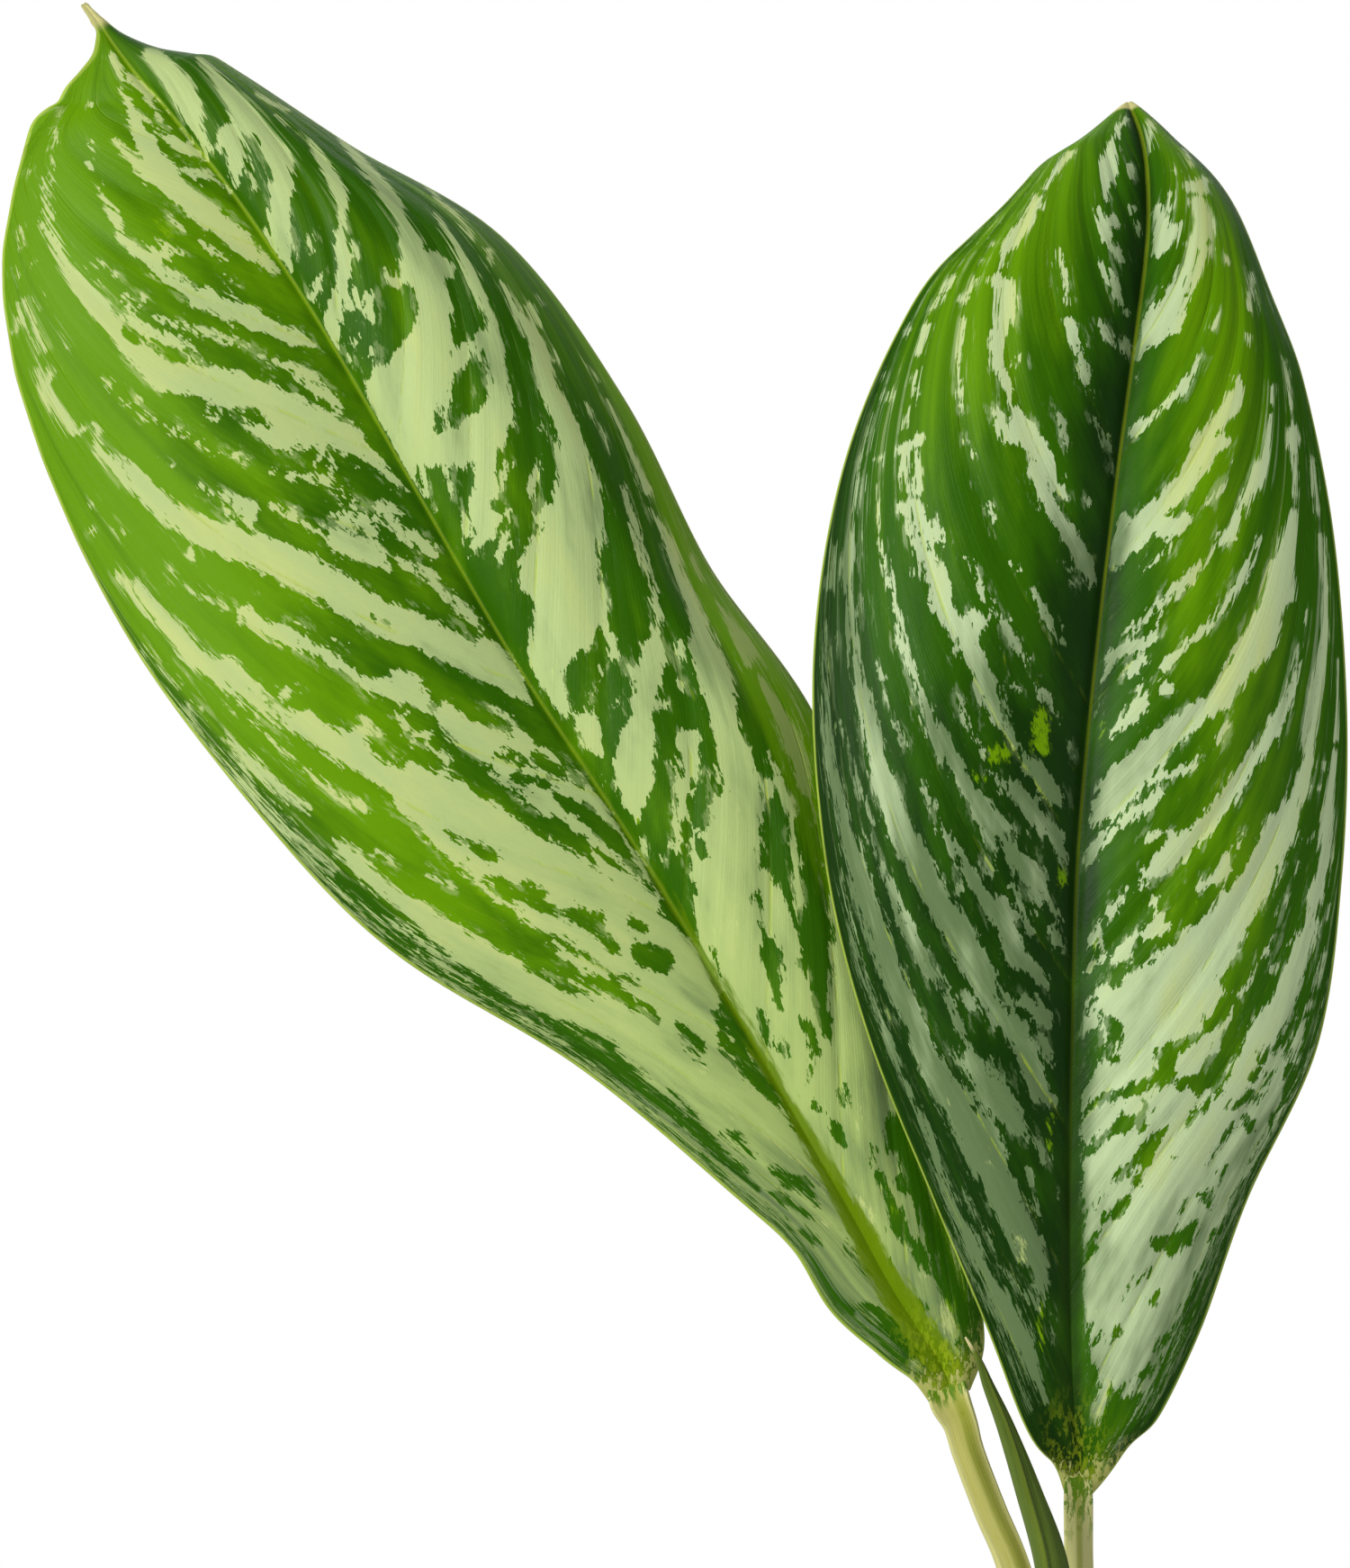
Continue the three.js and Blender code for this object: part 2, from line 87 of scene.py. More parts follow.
# Leaf plans, in millimetres and degrees. A station is the midrib's point, and the half-widths along the
# surface to its left and right. Rise and fall are the slopes of a half section beside the midrib and at the
# margin, each at the blade's base and tip. Fold is the height, place and width of the ridge in the right
# half, the last two as shares of its width. Band is the half-width of the midrib's colour at base and tip.
# The shoulder shapes the left half towards the tip: at a distance from the base, the share of its width
# that is kept, and how far its margin is carried forward. Veins are the places on the midrib where the side
# veins start.
RIGHT_BLADE = {
    "stations": [
        ((1, 3, 227.5), 2, 2),
        ((1, 3.5, 231.5), 3.7, 5.7),
        ((0.5, 3.5, 236.5), 7.1, 11.5),
        ((0, 5, 249), 11.8, 18.4),
        ((0, 7, 267), 19.9, 25.2),
        ((0.5, 10, 288.5), 29.6, 35),
        ((1.5, 15, 312.5), 37, 38.2),
        ((4, 21, 337), 41, 37.4),
        ((7.5, 30.5, 363), 40.2, 32.6),
        ((11, 41, 385), 34.1, 25.2),
        ((13, 49, 398), 26.4, 17.8),
        ((13.5, 56, 407.5), 19.3, 12.1),
        ((13, 61.5, 414), 13.8, 5),
        ((11.5, 67, 419.5), 0.6, 0.6),
    ],
    "rise": {"left": (32, 30), "right": (32, 28)},
    "fall": {"left": (-38, -34), "right": (-25, -42)},
    "wave": {"left": 0.1, "right": 0.5, "height": 1.2, "count": 2.5},
    "fold": (0, 0.7, 0.1),
    "band": (1.2, 0.5),
    "shoulder": ((0, 1, 0),),
    "veins": (-95, -62, -36, -13, 8, 27, 48, 68, 87, 107, 126, 144, 160, 176, 190, 204, 218, 232),
}
LEFT_BLADE = {
    "stations": [
        ((-15.5, 9, 240), 3.3, 2.6),
        ((-17.4, 9.8, 244.5), 4.7, 7.4),
        ((-20.4, 11, 249), 6.6, 11),
        ((-24.5, 13, 255.5), 9, 13.8),
        ((-29, 15, 263.8), 9.6, 16.4),
        ((-34, 17, 272.5), 12.9, 19.4),
        ((-47, 23, 295), 22.9, 27.5),
        ((-60.5, 29.5, 317), 36.5, 34.6),
        ((-75, 36.5, 339), 42.4, 34.7),
        ((-89, 44, 363), 46, 37),
        ((-103, 53, 387), 44.8, 34),
        ((-115, 60.5, 405), 39.8, 21.8),
        ((-125.5, 67.5, 418.5), 31.6, 14.6),
        ((-129, 69.8, 422.4), 26.4, 11.4),
        ((-131.6, 71.6, 425.7), 14, 6.2),
        ((-134, 73.5, 429), 3.5, 2.7),
        ((-136, 75.5, 432), 1.3, 1.1),
        ((-138, 77, 434.5), 0.6, 0.6),
    ],
    "rise": {"left": (32, 20), "right": (38, 35)},
    "fall": {"left": (-12, -26), "right": (-35, -60)},
    "wave": {"left": 0.1, "right": 0.5, "height": 1.5, "count": 2.5},
    "fold": (1.1, 0.66, 0.1),
    "band": (1.2, -0.8),
    "shoulder": (
        (150, 1, 0),
        (165, 1, 1.1),
        (177, 0.99, 3.3),
        (189, 0.96, 6.3),
        (198, 0.9, 8.9),
        (204, 0.832, 10.6),
        (210, 0.695, 12.4),
        (216, 0.562, 12.2),
        (219, 0.515, 11.2),
        (222, 0.39, 9.1),
        (225, 0.306, 6.1),
        (229, 0.24, 3.4),
        (232, 0.3, 2.2),
        (234.5, 0.5, 1),
        (238, 0.8, 0.1),
        (241, 1, 0),
    ),
    "veins": (-90, -60, -34, -11, 10, 30, 52, 75, 96, 115, 134, 153, 172, 190, 208, 222, 236, 250),
}
FACING = ((0, -1, 0.1), (0, -1, 0.3))
BLADE_THICKNESS = (0.8, 0.45)
KEEL_HEIGHT = (3.0, 0.3)
KEEL_HALF_WIDTH = (2.4, 0.9)

# Petiole stations, in millimetres: the thick back's point, the compass angle it faces, the distance from
# the wrapped axis, the wings' angles on each side, and the back's thickness.
RIGHT_PETIOLE = [
    ((2.65, 4.59, 131.3), 60, 5.3, 150, 150, 2.4),
    ((2.65, 4.59, 150), 60, 5.3, 148, 148, 2.4),
    ((2.65, 4.59, 168), 60, 5.3, 132, 132, 2.6),
    ((2.5, 4.9, 182), 64, 5.4, 88, 88, 3),
    ((2, 4.8, 194), 72, 6, 38, 38, 3.4),
    ((1.5, 4.4, 206), 82, 7.5, 21, 21, 3.7),
    ((1, 4.2, 217.4), 90, 8, 16, 16, 3.7),
    ((0.95, 4.84, 226.92), 90, 8, 16, 16, 3.7),
    ((1.0, 5.8, 231), 90, 8, 11, 11, 2.1),
]
LEFT_PETIOLE = [
    ((-4.67, 4.67, 121.3), 135, 6.6, 36, 120, 2.6),
    ((-4.67, 4.67, 142), 135, 6.6, 36, 120, 2.6),
    ((-4.67, 4.67, 162), 135, 6.6, 35, 106, 2.8),
    ((-4.85, 5.1, 179), 133, 7.1, 32, 68, 3.2),
    ((-4.75, 5.9, 194), 126, 7.4, 26, 34, 3.7),
    ((-5.2, 7, 206), 114, 7.8, 21, 22, 4),
    ((-7.9, 8.4, 217.3), 104, 8, 18.5, 18.5, 4.1),
    ((-10.8, 9.2, 224.6), 98, 8, 18.5, 18.5, 4.1),
    ((-13.6, 9.8, 232.2), 94, 8, 18.5, 18.5, 4.1),
    ((-14.6, 10.2, 236), 92, 8, 19.5, 20.5, 4.1),
    ((-15.75, 10.85, 239.15), 90, 8, 22, 27, 4.1),
    ((-16.6, 12.2, 242.6), 90, 8, 17, 20, 2.2),
]
WING_THICKNESS = 0.7

# Furled leaf stations, in millimetres: its axis and radius.
FURLED_LEAF = [
    ((0, 0, 163.3), 2.3),
    ((0, 0, 180), 2.6),
    ((-0.5, -1, 195), 2.6),
    ((-1.6, -2.6, 207), 2.4),
    ((-2.9, -3.5, 218.4), 2.25),
    ((-6, -3.3, 228.3), 1.75),
    ((-8.9, -2.8, 236.5), 1.22),
    ((-11.3, -2.4, 242.2), 0.8),
    ((-12.6, -2.2, 245.6), 0.45),
    ((-14.4, -2, 248.7), 0.15),
]
FURLED_OVERLAP = 0.14
FURLED_SEAM_TURN = (200, 330)
FURLED_LENGTH = 90
ROLL_MAP_WIDTH = 0.14

# Heights of the cane's nodes, where the sheaths of the two leaves begin.
LEFT_NODE = 121 * MM
RIGHT_NODE = 131 * MM

# The variegation, laid out on each half blade by the distance from the blade's base and the distance across
# from the midrib. Each streak runs through points of three numbers, all in fifths of a millimetre: these
# two distances and the half-width, negative for a green streak. Later streaks lie over earlier ones, and
# the first over the ground.
STREAK_UNIT = 0.2
LEFT_BLADE_LEFT = [
    (332, 69, 36, 290, 51, 40, 232, 39, 35, 178, 26, 25, 110, 23, 17, 80, 18, 12), (1151, 6, 2, 1130, 11, 2),
    (1125, 16, 2, 1049, 33, 11, 1026, 33, 10, 963, 17, 8, 935, 6, 2), (1088, 45, 2, 1046, 42, 5),
    (1128, 5, 3, 1107, 2, 5, 1085, 6, 4, 1041, 5, 4), (1104, 1, -2, 1084, 3, -4, 1065, 4, -4, 1058, 3, -2),
    (1124, 9, -2, 1111, 11, -5, 1080, 19, -2),
    (1071, 19, -2, 1054, 19, -6, 1045, 12, -5, 1032, 5, -6, 990, 3, -8, 969, 3, -4),
    (1079, 18, 1, 1052, 9, 5, 1040, 2, 2), (1044, 19, 1, 1034, 16, 4, 1029, 9, 4, 1008, 1, 1),
    (1009, 51, 1, 995, 47, 1), (979, 41, 1, 969, 38, 3, 959, 31, 1), (946, 42, 1, 937, 37, 1),
    (1068, 75, 2, 1016, 84, 4, 972, 76, 5, 949, 68, 5, 939, 63, 9, 894, 31, 7, 879, 25, 5),
    (1000, 67, 2, 990, 64, 4, 975, 56, 1), (989, 74, 3, 984, 67, 3), (977, 83, 2, 976, 83, 2),
    (1011, 109, 1, 1003, 108, 1), (995, 105, 2, 989, 105, 1), (975, 108, 2, 958, 101, 2),
    (967, 98, 2, 966, 97, 2), (1098, 105, 2, 1070, 113, 2),
    (1073, 124, 3, 1051, 125, 5, 1025, 130, 5, 991, 129, 9, 936, 125, 7, 901, 116, 12, 868, 78, 11,
     827, 49, 11), (953, 121, -2, 941, 120, -4, 934, 118, -1), (946, 99, 2, 908, 72, 4, 892, 57, 2),
    (961, 114, 3, 947, 113, 4, 936, 108, 5, 903, 86, 2), (935, 101, -1, 912, 87, -2),
    (1020, 168, 3, 978, 179, 3), (1022, 173, 2, 1009, 180, 4, 1007, 186, 3), (967, 182, 1, 956, 183, 3),
    (969, 188, 2, 945, 193, 5, 907, 191, 5), (991, 157, 1, 966, 160, 2), (924, 152, 3, 916, 153, 1),
    (903, 150, 1, 890, 143, 1), (883, 144, 1, 875, 138, 1), (865, 133, 2, 859, 129, 1),
    (902, 185, 3, 899, 176, 2), (859, 92, 1, 853, 87, 1), (857, 105, 1, 849, 98, 1),
    (847, 85, -2, 829, 72, -4), (1146, 58, 1, 1137, 65, 1), (1129, 74, 2, 1118, 79, 1),
    (1117, 86, 1, 1094, 97, 2), (1113, 109, 2, 1113, 109, 2), (1101, 59, 2, 1093, 61, 1),
    (1087, 70, 2, 1081, 72, 1), (1132, 39, 2, 1131, 39, 2), (1076, 141, 1, 1060, 149, 1),
    (1049, 162, 2, 1039, 162, 1), (1045, 147, 1, 1044, 147, 1), (1019, 154, 1, 1010, 157, 1),
    (888, 22, 4, 878, 17, 5, 868, 12, 2), (881, 54, 1, 864, 39, 4, 847, 25, 1),
    (849, 36, 1, 839, 29, 4, 817, 19, 2), (829, 48, 10, 818, 42, 11, 796, 22, 7), (802, 26, 5, 768, 14, 1),
    (786, 23, 2, 772, 17, 4, 743, 8, 2), (740, 27, 2, 734, 22, 3, 726, 21, 1), (742, 58, 5, 719, 35, 2),
    (740, 36, 1, 723, 30, 2, 701, 15, 5, 692, 13, 2), (721, 31, 1, 690, 13, 2),
    (725, 67, 9, 715, 57, 10, 694, 44, 3), (696, 37, 2, 674, 22, 3), (637, 46, 13, 597, 20, 11),
    (673, 24, 4, 633, 10, 4), (612, 14, 9, 594, 12, 13, 564, 8, 3),
    (560, 40, 15, 543, 34, 11, 505, 27, 12, 482, 26, 10), (581, 33, -3, 574, 25, -5, 564, 20, -2),
    (568, 37, -4, 558, 33, -6, 551, 31, -2),
    (905, 118, 11, 881, 94, 13, 820, 52, 13, 810, 39, 11, 786, 22, 7, 744, 9, 2),
    (837, 88, 2, 816, 72, 8, 796, 46, 3), (857, 93, -1, 837, 75, -4, 828, 71, -2), (857, 106, 1, 850, 98, 1),
    (872, 46, 2, 851, 30, 4, 823, 21, 4, 815, 20, 1), (926, 154, 2, 917, 151, 1),
    (903, 150, 2, 896, 144, 3, 891, 142, 1), (885, 143, 1, 875, 137, 1),
    (867, 133, 1, 857, 128, 3, 842, 119, 1), (835, 119, 2, 810, 95, 1), (796, 84, 2, 771, 57, 4, 766, 47, 2),
    (765, 55, 1, 739, 40, 2), (791, 59, 2, 777, 43, 1), (785, 43, 1, 769, 28, 1), (738, 26, 3, 730, 21, 2),
    (750, 64, 1, 733, 47, 4, 719, 34, 2), (738, 37, 1, 694, 12, 4), (718, 33, 1, 696, 17, 3),
    (751, 88, 2, 715, 53, 8, 697, 44, 3), (696, 38, 3, 674, 24, 4), (813, 134, 1, 779, 111, 5),
    (779, 106, 2, 772, 98, 3, 756, 87, 1), (763, 85, 2, 763, 85, 2), (785, 124, 3, 772, 116, 4),
    (897, 177, 3, 878, 182, 5, 842, 169, 8, 808, 162, 7, 776, 143, 11, 731, 108, 13, 665, 69, 13,
     637, 46, 13), (775, 111, 4, 774, 111, 4), (696, 99, -1, 696, 99, -1), (670, 77, -1, 659, 69, -1),
    (687, 102, -1, 670, 88, -1), (744, 139, -2, 732, 127, -1), (843, 150, 1, 833, 142, 1),
    (773, 163, 3, 768, 160, 1), (771, 182, 2, 770, 182, 2), (765, 184, 1, 724, 158, 2),
    (723, 153, 2, 716, 148, 5, 696, 143, 5, 669, 121, 5, 638, 105, 2, 627, 101, 4, 610, 82, 8, 598, 74, 7),
    (711, 157, 2, 703, 151, 2), (691, 129, 2, 687, 122, 2, 682, 119, 2), (676, 134, 1, 665, 123, 1),
    (668, 109, 1, 656, 97, 1), (655, 107, 2, 655, 106, 2), (622, 80, 5, 612, 73, 6, 608, 68, 2),
    (849, 207, 2, 849, 207, 2), (830, 216, 3, 830, 215, 3), (825, 202, 1, 813, 198, 1),
    (791, 215, 5, 735, 199, 6, 709, 196, 8, 695, 190, 7, 686, 179, 9, 668, 170, 4),
    (681, 189, 3, 659, 175, 5, 635, 161, 5), (656, 158, 2, 651, 153, 4, 648, 145, 2),
    (631, 162, 4, 625, 152, 8, 589, 133, 10, 565, 117, 8, 545, 100, 17), (638, 152, -3, 637, 152, -3),
    (545, 115, 12, 547, 125, 6), (603, 97, 3, 587, 90, 1), (608, 117, 1, 608, 117, 1),
    (584, 101, 2, 575, 92, 3, 567, 86, 3), (579, 82, 5, 579, 82, 5), (777, 200, 2, 776, 200, 2),
    (737, 224, 1, 694, 214, 1), (683, 216, 1, 669, 209, 2), (650, 204, 2, 619, 198, 5, 579, 182, 3),
    (634, 183, 1, 625, 177, 1, 579, 159, 2, 563, 149, 3), (609, 190, 2, 608, 190, 2),
    (665, 193, 1, 657, 188, 1), (647, 186, 1, 644, 183, 1), (598, 127, 13, 428, 67, 34, 340, 35, 40),
    (582, 65, 10, 559, 51, 15, 505, 30, 21, 472, 22, 20, 404, 12, 12),
    (545, 175, 7, 508, 168, 6, 436, 142, 12, 288, 64, 17),
    (620, 125, -11, 602, 99, -12, 591, 87, -9, 584, 77, -6, 582, 69, -1), (601, 95, 2, 589, 91, 2),
    (609, 117, 1, 602, 112, 1), (588, 116, -6, 582, 104, -8, 557, 86, -7, 543, 69, -4, 532, 62, -2),
    (582, 117, -6, 572, 108, -4), (585, 100, 1, 566, 84, 3, 554, 77, 2),
    (545, 68, -2, 535, 59, -3, 525, 55, -2, 518, 48, -2), (521, 49, -4, 508, 33, -4, 501, 28, -1),
    (538, 80, -2, 525, 69, -3), (508, 65, -1, 504, 62, -1), (584, 51, -5, 575, 45, -9, 554, 32, -4),
    (571, 29, -3, 548, 15, -1), (545, 53, -2, 535, 41, -5, 526, 35, -2),
    (548, 11, -4, 528, 10, -7, 493, 10, -3), (530, 27, -3, 519, 24, -5, 501, 13, -3),
    (530, 21, 1, 520, 16, 1), (495, 30, -2, 486, 27, -7, 477, 21, -7, 451, 14, -7, 404, 7, -2),
    (496, 60, -2, 488, 55, -6, 477, 47, -8, 456, 36, -7, 443, 34, -2),
    (446, 28, -2, 437, 22, -3, 426, 18, -2), (512, 108, -2, 484, 91, -6, 475, 87, -1),
    (488, 115, -1, 483, 112, -4, 478, 110, -2), (580, 150, -6, 555, 134, -9, 534, 132, -3),
    (561, 163, -9, 492, 143, -10, 460, 128, -9, 448, 120, -11, 441, 109, -9, 373, 82, -3),
    (572, 156, 2, 564, 149, 3, 554, 147, 2), (536, 167, 1, 530, 163, 1), (529, 156, 1, 517, 150, 2),
    (497, 136, 2, 486, 132, 2, 476, 123, 1), (469, 105, -2, 459, 99, -5, 434, 81, -4, 412, 69, -2),
    (449, 82, -4, 439, 77, -4), (416, 65, -6, 404, 57, -9, 393, 54, -4, 377, 52, -3),
    (418, 93, -3, 400, 89, -3), (408, 84, -2, 385, 72, -3), (377, 67, -2, 349, 50, -1),
    (371, 80, -4, 359, 70, -6, 350, 66, -4, 324, 50, -3),
    (407, 111, -3, 399, 106, -6, 383, 101, -2, 377, 95, -4, 359, 83, -1), (391, 33, -3, 383, 29, -5),
    (374, 41, -3, 366, 39, -8, 356, 28, -9), (528, 186, -7, 484, 171, -5, 475, 164, -2),
    (517, 194, -3, 461, 174, -4, 444, 155, -2, 435, 149, -1), (471, 184, -3, 381, 138, -2, 329, 116, -2),
    (438, 157, -2, 391, 136, -5, 368, 121, -1), (383, 127, -1, 331, 103, -7, 267, 76, -4),
    (358, 110, -1, 324, 91, -5, 295, 81, -1), (313, 41, -2, 302, 39, -5, 291, 35, -4),
    (296, 47, -1, 281, 38, -1), (328, 55, -1, 321, 51, -2),
    (308, 15, -2, 298, 14, -2, 283, 21, -4, 273, 15, -7, 261, 11, -7, 228, 4, -4, 195, 2, -2),
    (274, 69, -1, 257, 62, -1),
    (343, 105, -2, 315, 90, -6, 289, 81, -3, 258, 72, -4, 229, 61, -6, 186, 49, -1),
    (233, 50, -2, 225, 45, -5, 209, 40, -1), (195, 33, -2, 183, 29, -4, 176, 21, -6, 159, 18, -2),
    (178, 40, -3, 153, 26, -1), (147, 36, -2, 133, 30, -1), (136, 10, -1, 114, 1, -1),
    (123, 17, -2, 96, 8, -2), (136, 40, -1, 95, 37, -4, 49, 21, -4, 15, 13, -3),
    (83, 24, -2, 74, 17, -5, 21, 4, -8), (79, 31, 2, 44, 19, 1), (82, 12, 2, 45, 4, 3),
    (33, 16, 3, 26, 14, 2), (310, 107, -1, 206, 64, -1), (277, 92, -1, 216, 67, -1),
    (176, 51, -1, 160, 43, -1, 133, 41, -1),
]
LEFT_BLADE_RIGHT = [
    (292, 22, 22, 225, 21, 30, 189, 25, 27, 124, 25, 16, 28, 14, 7), (1134, 19, 7, 1098, 18, 10, 1044, 8, 6),
    (1038, 13, 5, 1042, 24, 8, 1028, 20, 7, 1007, 7, 3), (1117, 29, -2, 1102, 27, -1),
    (1081, 27, -1, 1055, 17, -5, 1040, 10, -1),
    (1107, 45, 3, 1051, 44, 10, 1029, 42, 10, 1006, 43, 11, 989, 36, 9, 953, 9, 8, 941, 7, 7, 927, 1, 1),
    (962, 3, 4, 950, 3, 5), (1034, 31, -2, 1025, 34, -5, 991, 13, -9, 979, 8, -7, 970, 7, -2),
    (1025, 29, 1, 995, 16, 2), (1062, 64, 2, 1051, 70, 3, 1044, 78, 3), (1039, 63, 1, 1028, 65, 2),
    (1020, 68, 1, 1005, 71, 3, 961, 65, 6, 948, 61, 4, 925, 46, 4, 901, 35, 6, 876, 6, 6, 865, 1, 5,
     855, 0, 1), (915, 51, 2, 900, 36, 5), (938, 29, 3, 931, 23, 3), (912, 22, 1, 904, 6, 6, 900, 3, 2),
    (879, 25, 3, 881, 33, 5, 876, 41, 5, 866, 39, 2, 860, 34, 1), (877, 27, 4, 873, 35, 5),
    (858, 16, 3, 857, 17, 3), (850, 6, 2, 850, 6, 2), (844, 26, 2, 839, 21, 3, 837, 16, 1),
    (1017, 106, 2, 993, 101, 6, 910, 92, 6, 886, 79, 7, 877, 71, 6, 875, 65, 4), (889, 62, 1, 884, 59, 1),
    (885, 70, 2, 885, 70, 2), (989, 103, 4, 969, 96, 5, 916, 93, 6, 885, 88, 11, 875, 92, 12, 871, 100, 7),
    (884, 82, 9, 863, 83, 11, 841, 75, 11, 827, 64, 15, 803, 37, 27, 789, 27, 22, 771, 23, 20, 754, 30, 15),
    (820, 18, 11, 819, 9, 7, 753, 7, 10, 736, 3, 3),
    (803, 70, 6, 812, 100, 6, 780, 92, 6, 766, 86, 9, 753, 72, 15, 743, 55, 19, 746, 42, 14),
    (918, 121, 1, 858, 115, 5, 826, 110, 3, 796, 101, 5), (889, 101, -5, 883, 105, -2),
    (794, 86, -2, 789, 79, -9, 777, 51, -8, 762, 35, -1), (772, 70, -8, 770, 62, -6),
    (780, 53, 1, 770, 43, 1), (775, 74, 1, 774, 74, 1), (887, 61, 1, 882, 58, 1),
    (877, 60, 2, 878, 68, 4, 871, 72, 4), (857, 16, 3, 857, 16, 3), (851, 6, 2, 850, 6, 2),
    (843, 25, 2, 837, 19, 2),
    (847, 136, 2, 792, 134, 7, 757, 122, 8, 723, 120, 10, 675, 100, 17, 641, 86, 15),
    (824, 148, 4, 812, 145, 3), (678, 81, 12, 665, 68, 10, 651, 57, 15, 635, 53, 22),
    (734, 56, 10, 717, 49, 8, 692, 26, 10, 682, 16, 7), (718, 68, 2, 702, 50, 2), (688, 40, 6, 685, 49, 3),
    (686, 31, 8, 678, 38, 4), (749, 10, -2, 740, 5, -4),
    (742, 22, -3, 732, 14, -8, 716, 13, -14, 695, 6, -3), (731, 41, -4, 720, 33, -7, 711, 21, -6),
    (731, 28, 3, 720, 20, 1), (734, 5, 2, 733, 6, 2), (717, 7, 2, 716, 7, 2),
    (694, 23, -1, 687, 16, -3, 683, 10, -2), (678, 9, -5, 665, 10, -4, 662, 21, -3),
    (674, 32, -3, 679, 47, -5, 674, 55, -8, 654, 41, -3), (673, 40, 3, 664, 29, 4),
    (687, 77, -6, 678, 67, -3), (664, 69, -6, 664, 69, -6), (640, 94, -3, 630, 97, -6, 616, 91, -8),
    (736, 103, 2, 728, 99, 2), (716, 90, 1, 704, 82, 3, 696, 73, 2),
    (948, 141, 2, 927, 136, 3, 916, 139, 3, 887, 137, 2), (877, 144, 2, 865, 136, 2),
    (836, 160, 1, 825, 161, 1), (785, 148, 2, 779, 141, 2), (782, 164, 1, 758, 168, 2),
    (736, 145, 2, 728, 144, 1), (718, 145, 1, 700, 141, 1), (739, 165, 2, 713, 163, 2, 665, 154, 4),
    (675, 136, 2, 609, 120, 3),
    (671, 95, 18, 625, 58, 26, 607, 57, 26, 596, 44, 24, 587, 27, 17, 574, 17, 11, 545, 11, 4),
    (639, 95, -3, 613, 93, -4), (636, 26, -4, 625, 24, -10, 615, 16, -11, 609, 6, -5, 621, 4, -6),
    (603, 4, -3, 585, 6, -5, 568, 5, -3), (569, 68, 4, 556, 63, 4), (582, 69, 2, 576, 68, 2),
    (534, 26, 2, 526, 20, 9, 513, 15, 7, 504, 13, 2), (554, 49, 1, 538, 30, 1), (496, 6, 2, 485, 3, 2),
    (525, 43, 2, 527, 49, 2),
    (548, 87, 8, 537, 80, 10, 509, 54, 8, 488, 34, 15, 476, 27, 14, 465, 18, 9, 454, 12, 2),
    (540, 65, 4, 539, 65, 4), (619, 118, 1, 597, 116, 2, 565, 103, 4, 553, 94, 2),
    (649, 148, 3, 626, 149, 5, 576, 137, 5, 553, 131, 7, 521, 119, 12, 501, 112, 13, 470, 98, 9,
     455, 95, 12, 424, 79, 17, 398, 51, 24, 341, 33, 36, 298, 19, 35), (541, 107, 3, 531, 103, 3),
    (515, 89, 3, 514, 89, 3), (508, 72, 3, 507, 73, 3), (483, 72, 3, 477, 73, 8, 444, 53, 1),
    (469, 56, 3, 468, 57, 3), (455, 52, 4, 444, 46, 5, 432, 35, 3), (451, 73, 3, 450, 73, 3),
    (457, 77, -2, 436, 72, -4), (438, 56, -5, 427, 50, -8), (439, 6, 2, 432, 3, 1), (420, 13, 2, 419, 13, 2),
    (420, 24, 3, 426, 31, 2), (412, 40, -3, 404, 38, -2), (561, 157, 2, 526, 156, 8, 512, 156, 4),
    (521, 148, 4, 508, 145, 4), (496, 148, 3, 440, 139, 8, 410, 128, 4), (444, 118, 2, 400, 108, 4),
    (425, 113, 2, 421, 101, 5), (388, 99, 2, 341, 78, 4), (439, 104, -5, 433, 102, -3),
    (410, 94, -5, 393, 87, -9, 377, 77, -9, 368, 76, -4), (610, 162, 1, 584, 157, 2),
    (363, 55, -2, 341, 46, -1), (337, 46, -2, 322, 44, -7, 290, 31, -2), (347, 10, -2, 328, 4, -1),
    (307, 59, -3, 306, 59, -3), (291, 16, -3, 266, 9, -2), (266, 18, -4, 260, 15, -4),
    (285, 30, -1, 285, 30, -1), (277, 35, -1, 276, 35, -1), (271, 40, -3, 259, 40, -4, 235, 21, -2),
    (268, 53, -2, 268, 54, -2), (221, 16, -1, 214, 17, -2), (216, 38, -4, 210, 35, -3),
    (203, 21, -2, 195, 21, -5, 186, 20, -3), (174, 36, -2, 164, 30, -1), (177, 54, -5, 167, 50, -5),
    (176, 62, -3, 167, 60, -2), (154, 32, -3, 120, 26, -6, 95, 30, -5, 78, 29, -1),
    (142, 45, -7, 135, 51, -8, 125, 49, -5), (261, 59, -4, 219, 53, -1), (203, 61, -3, 193, 61, -2),
    (113, 46, -3, 73, 41, -2), (68, 10, -1, 59, 13, -2), (28, 16, -2, 29, 23, -3, 20, 19, -2),
    (334, 102, 4, 296, 87, 10, 263, 73, 18, 238, 68, 25, 213, 61, 21, 202, 55, 16, 192, 42, 12, 170, 41, 3),
]
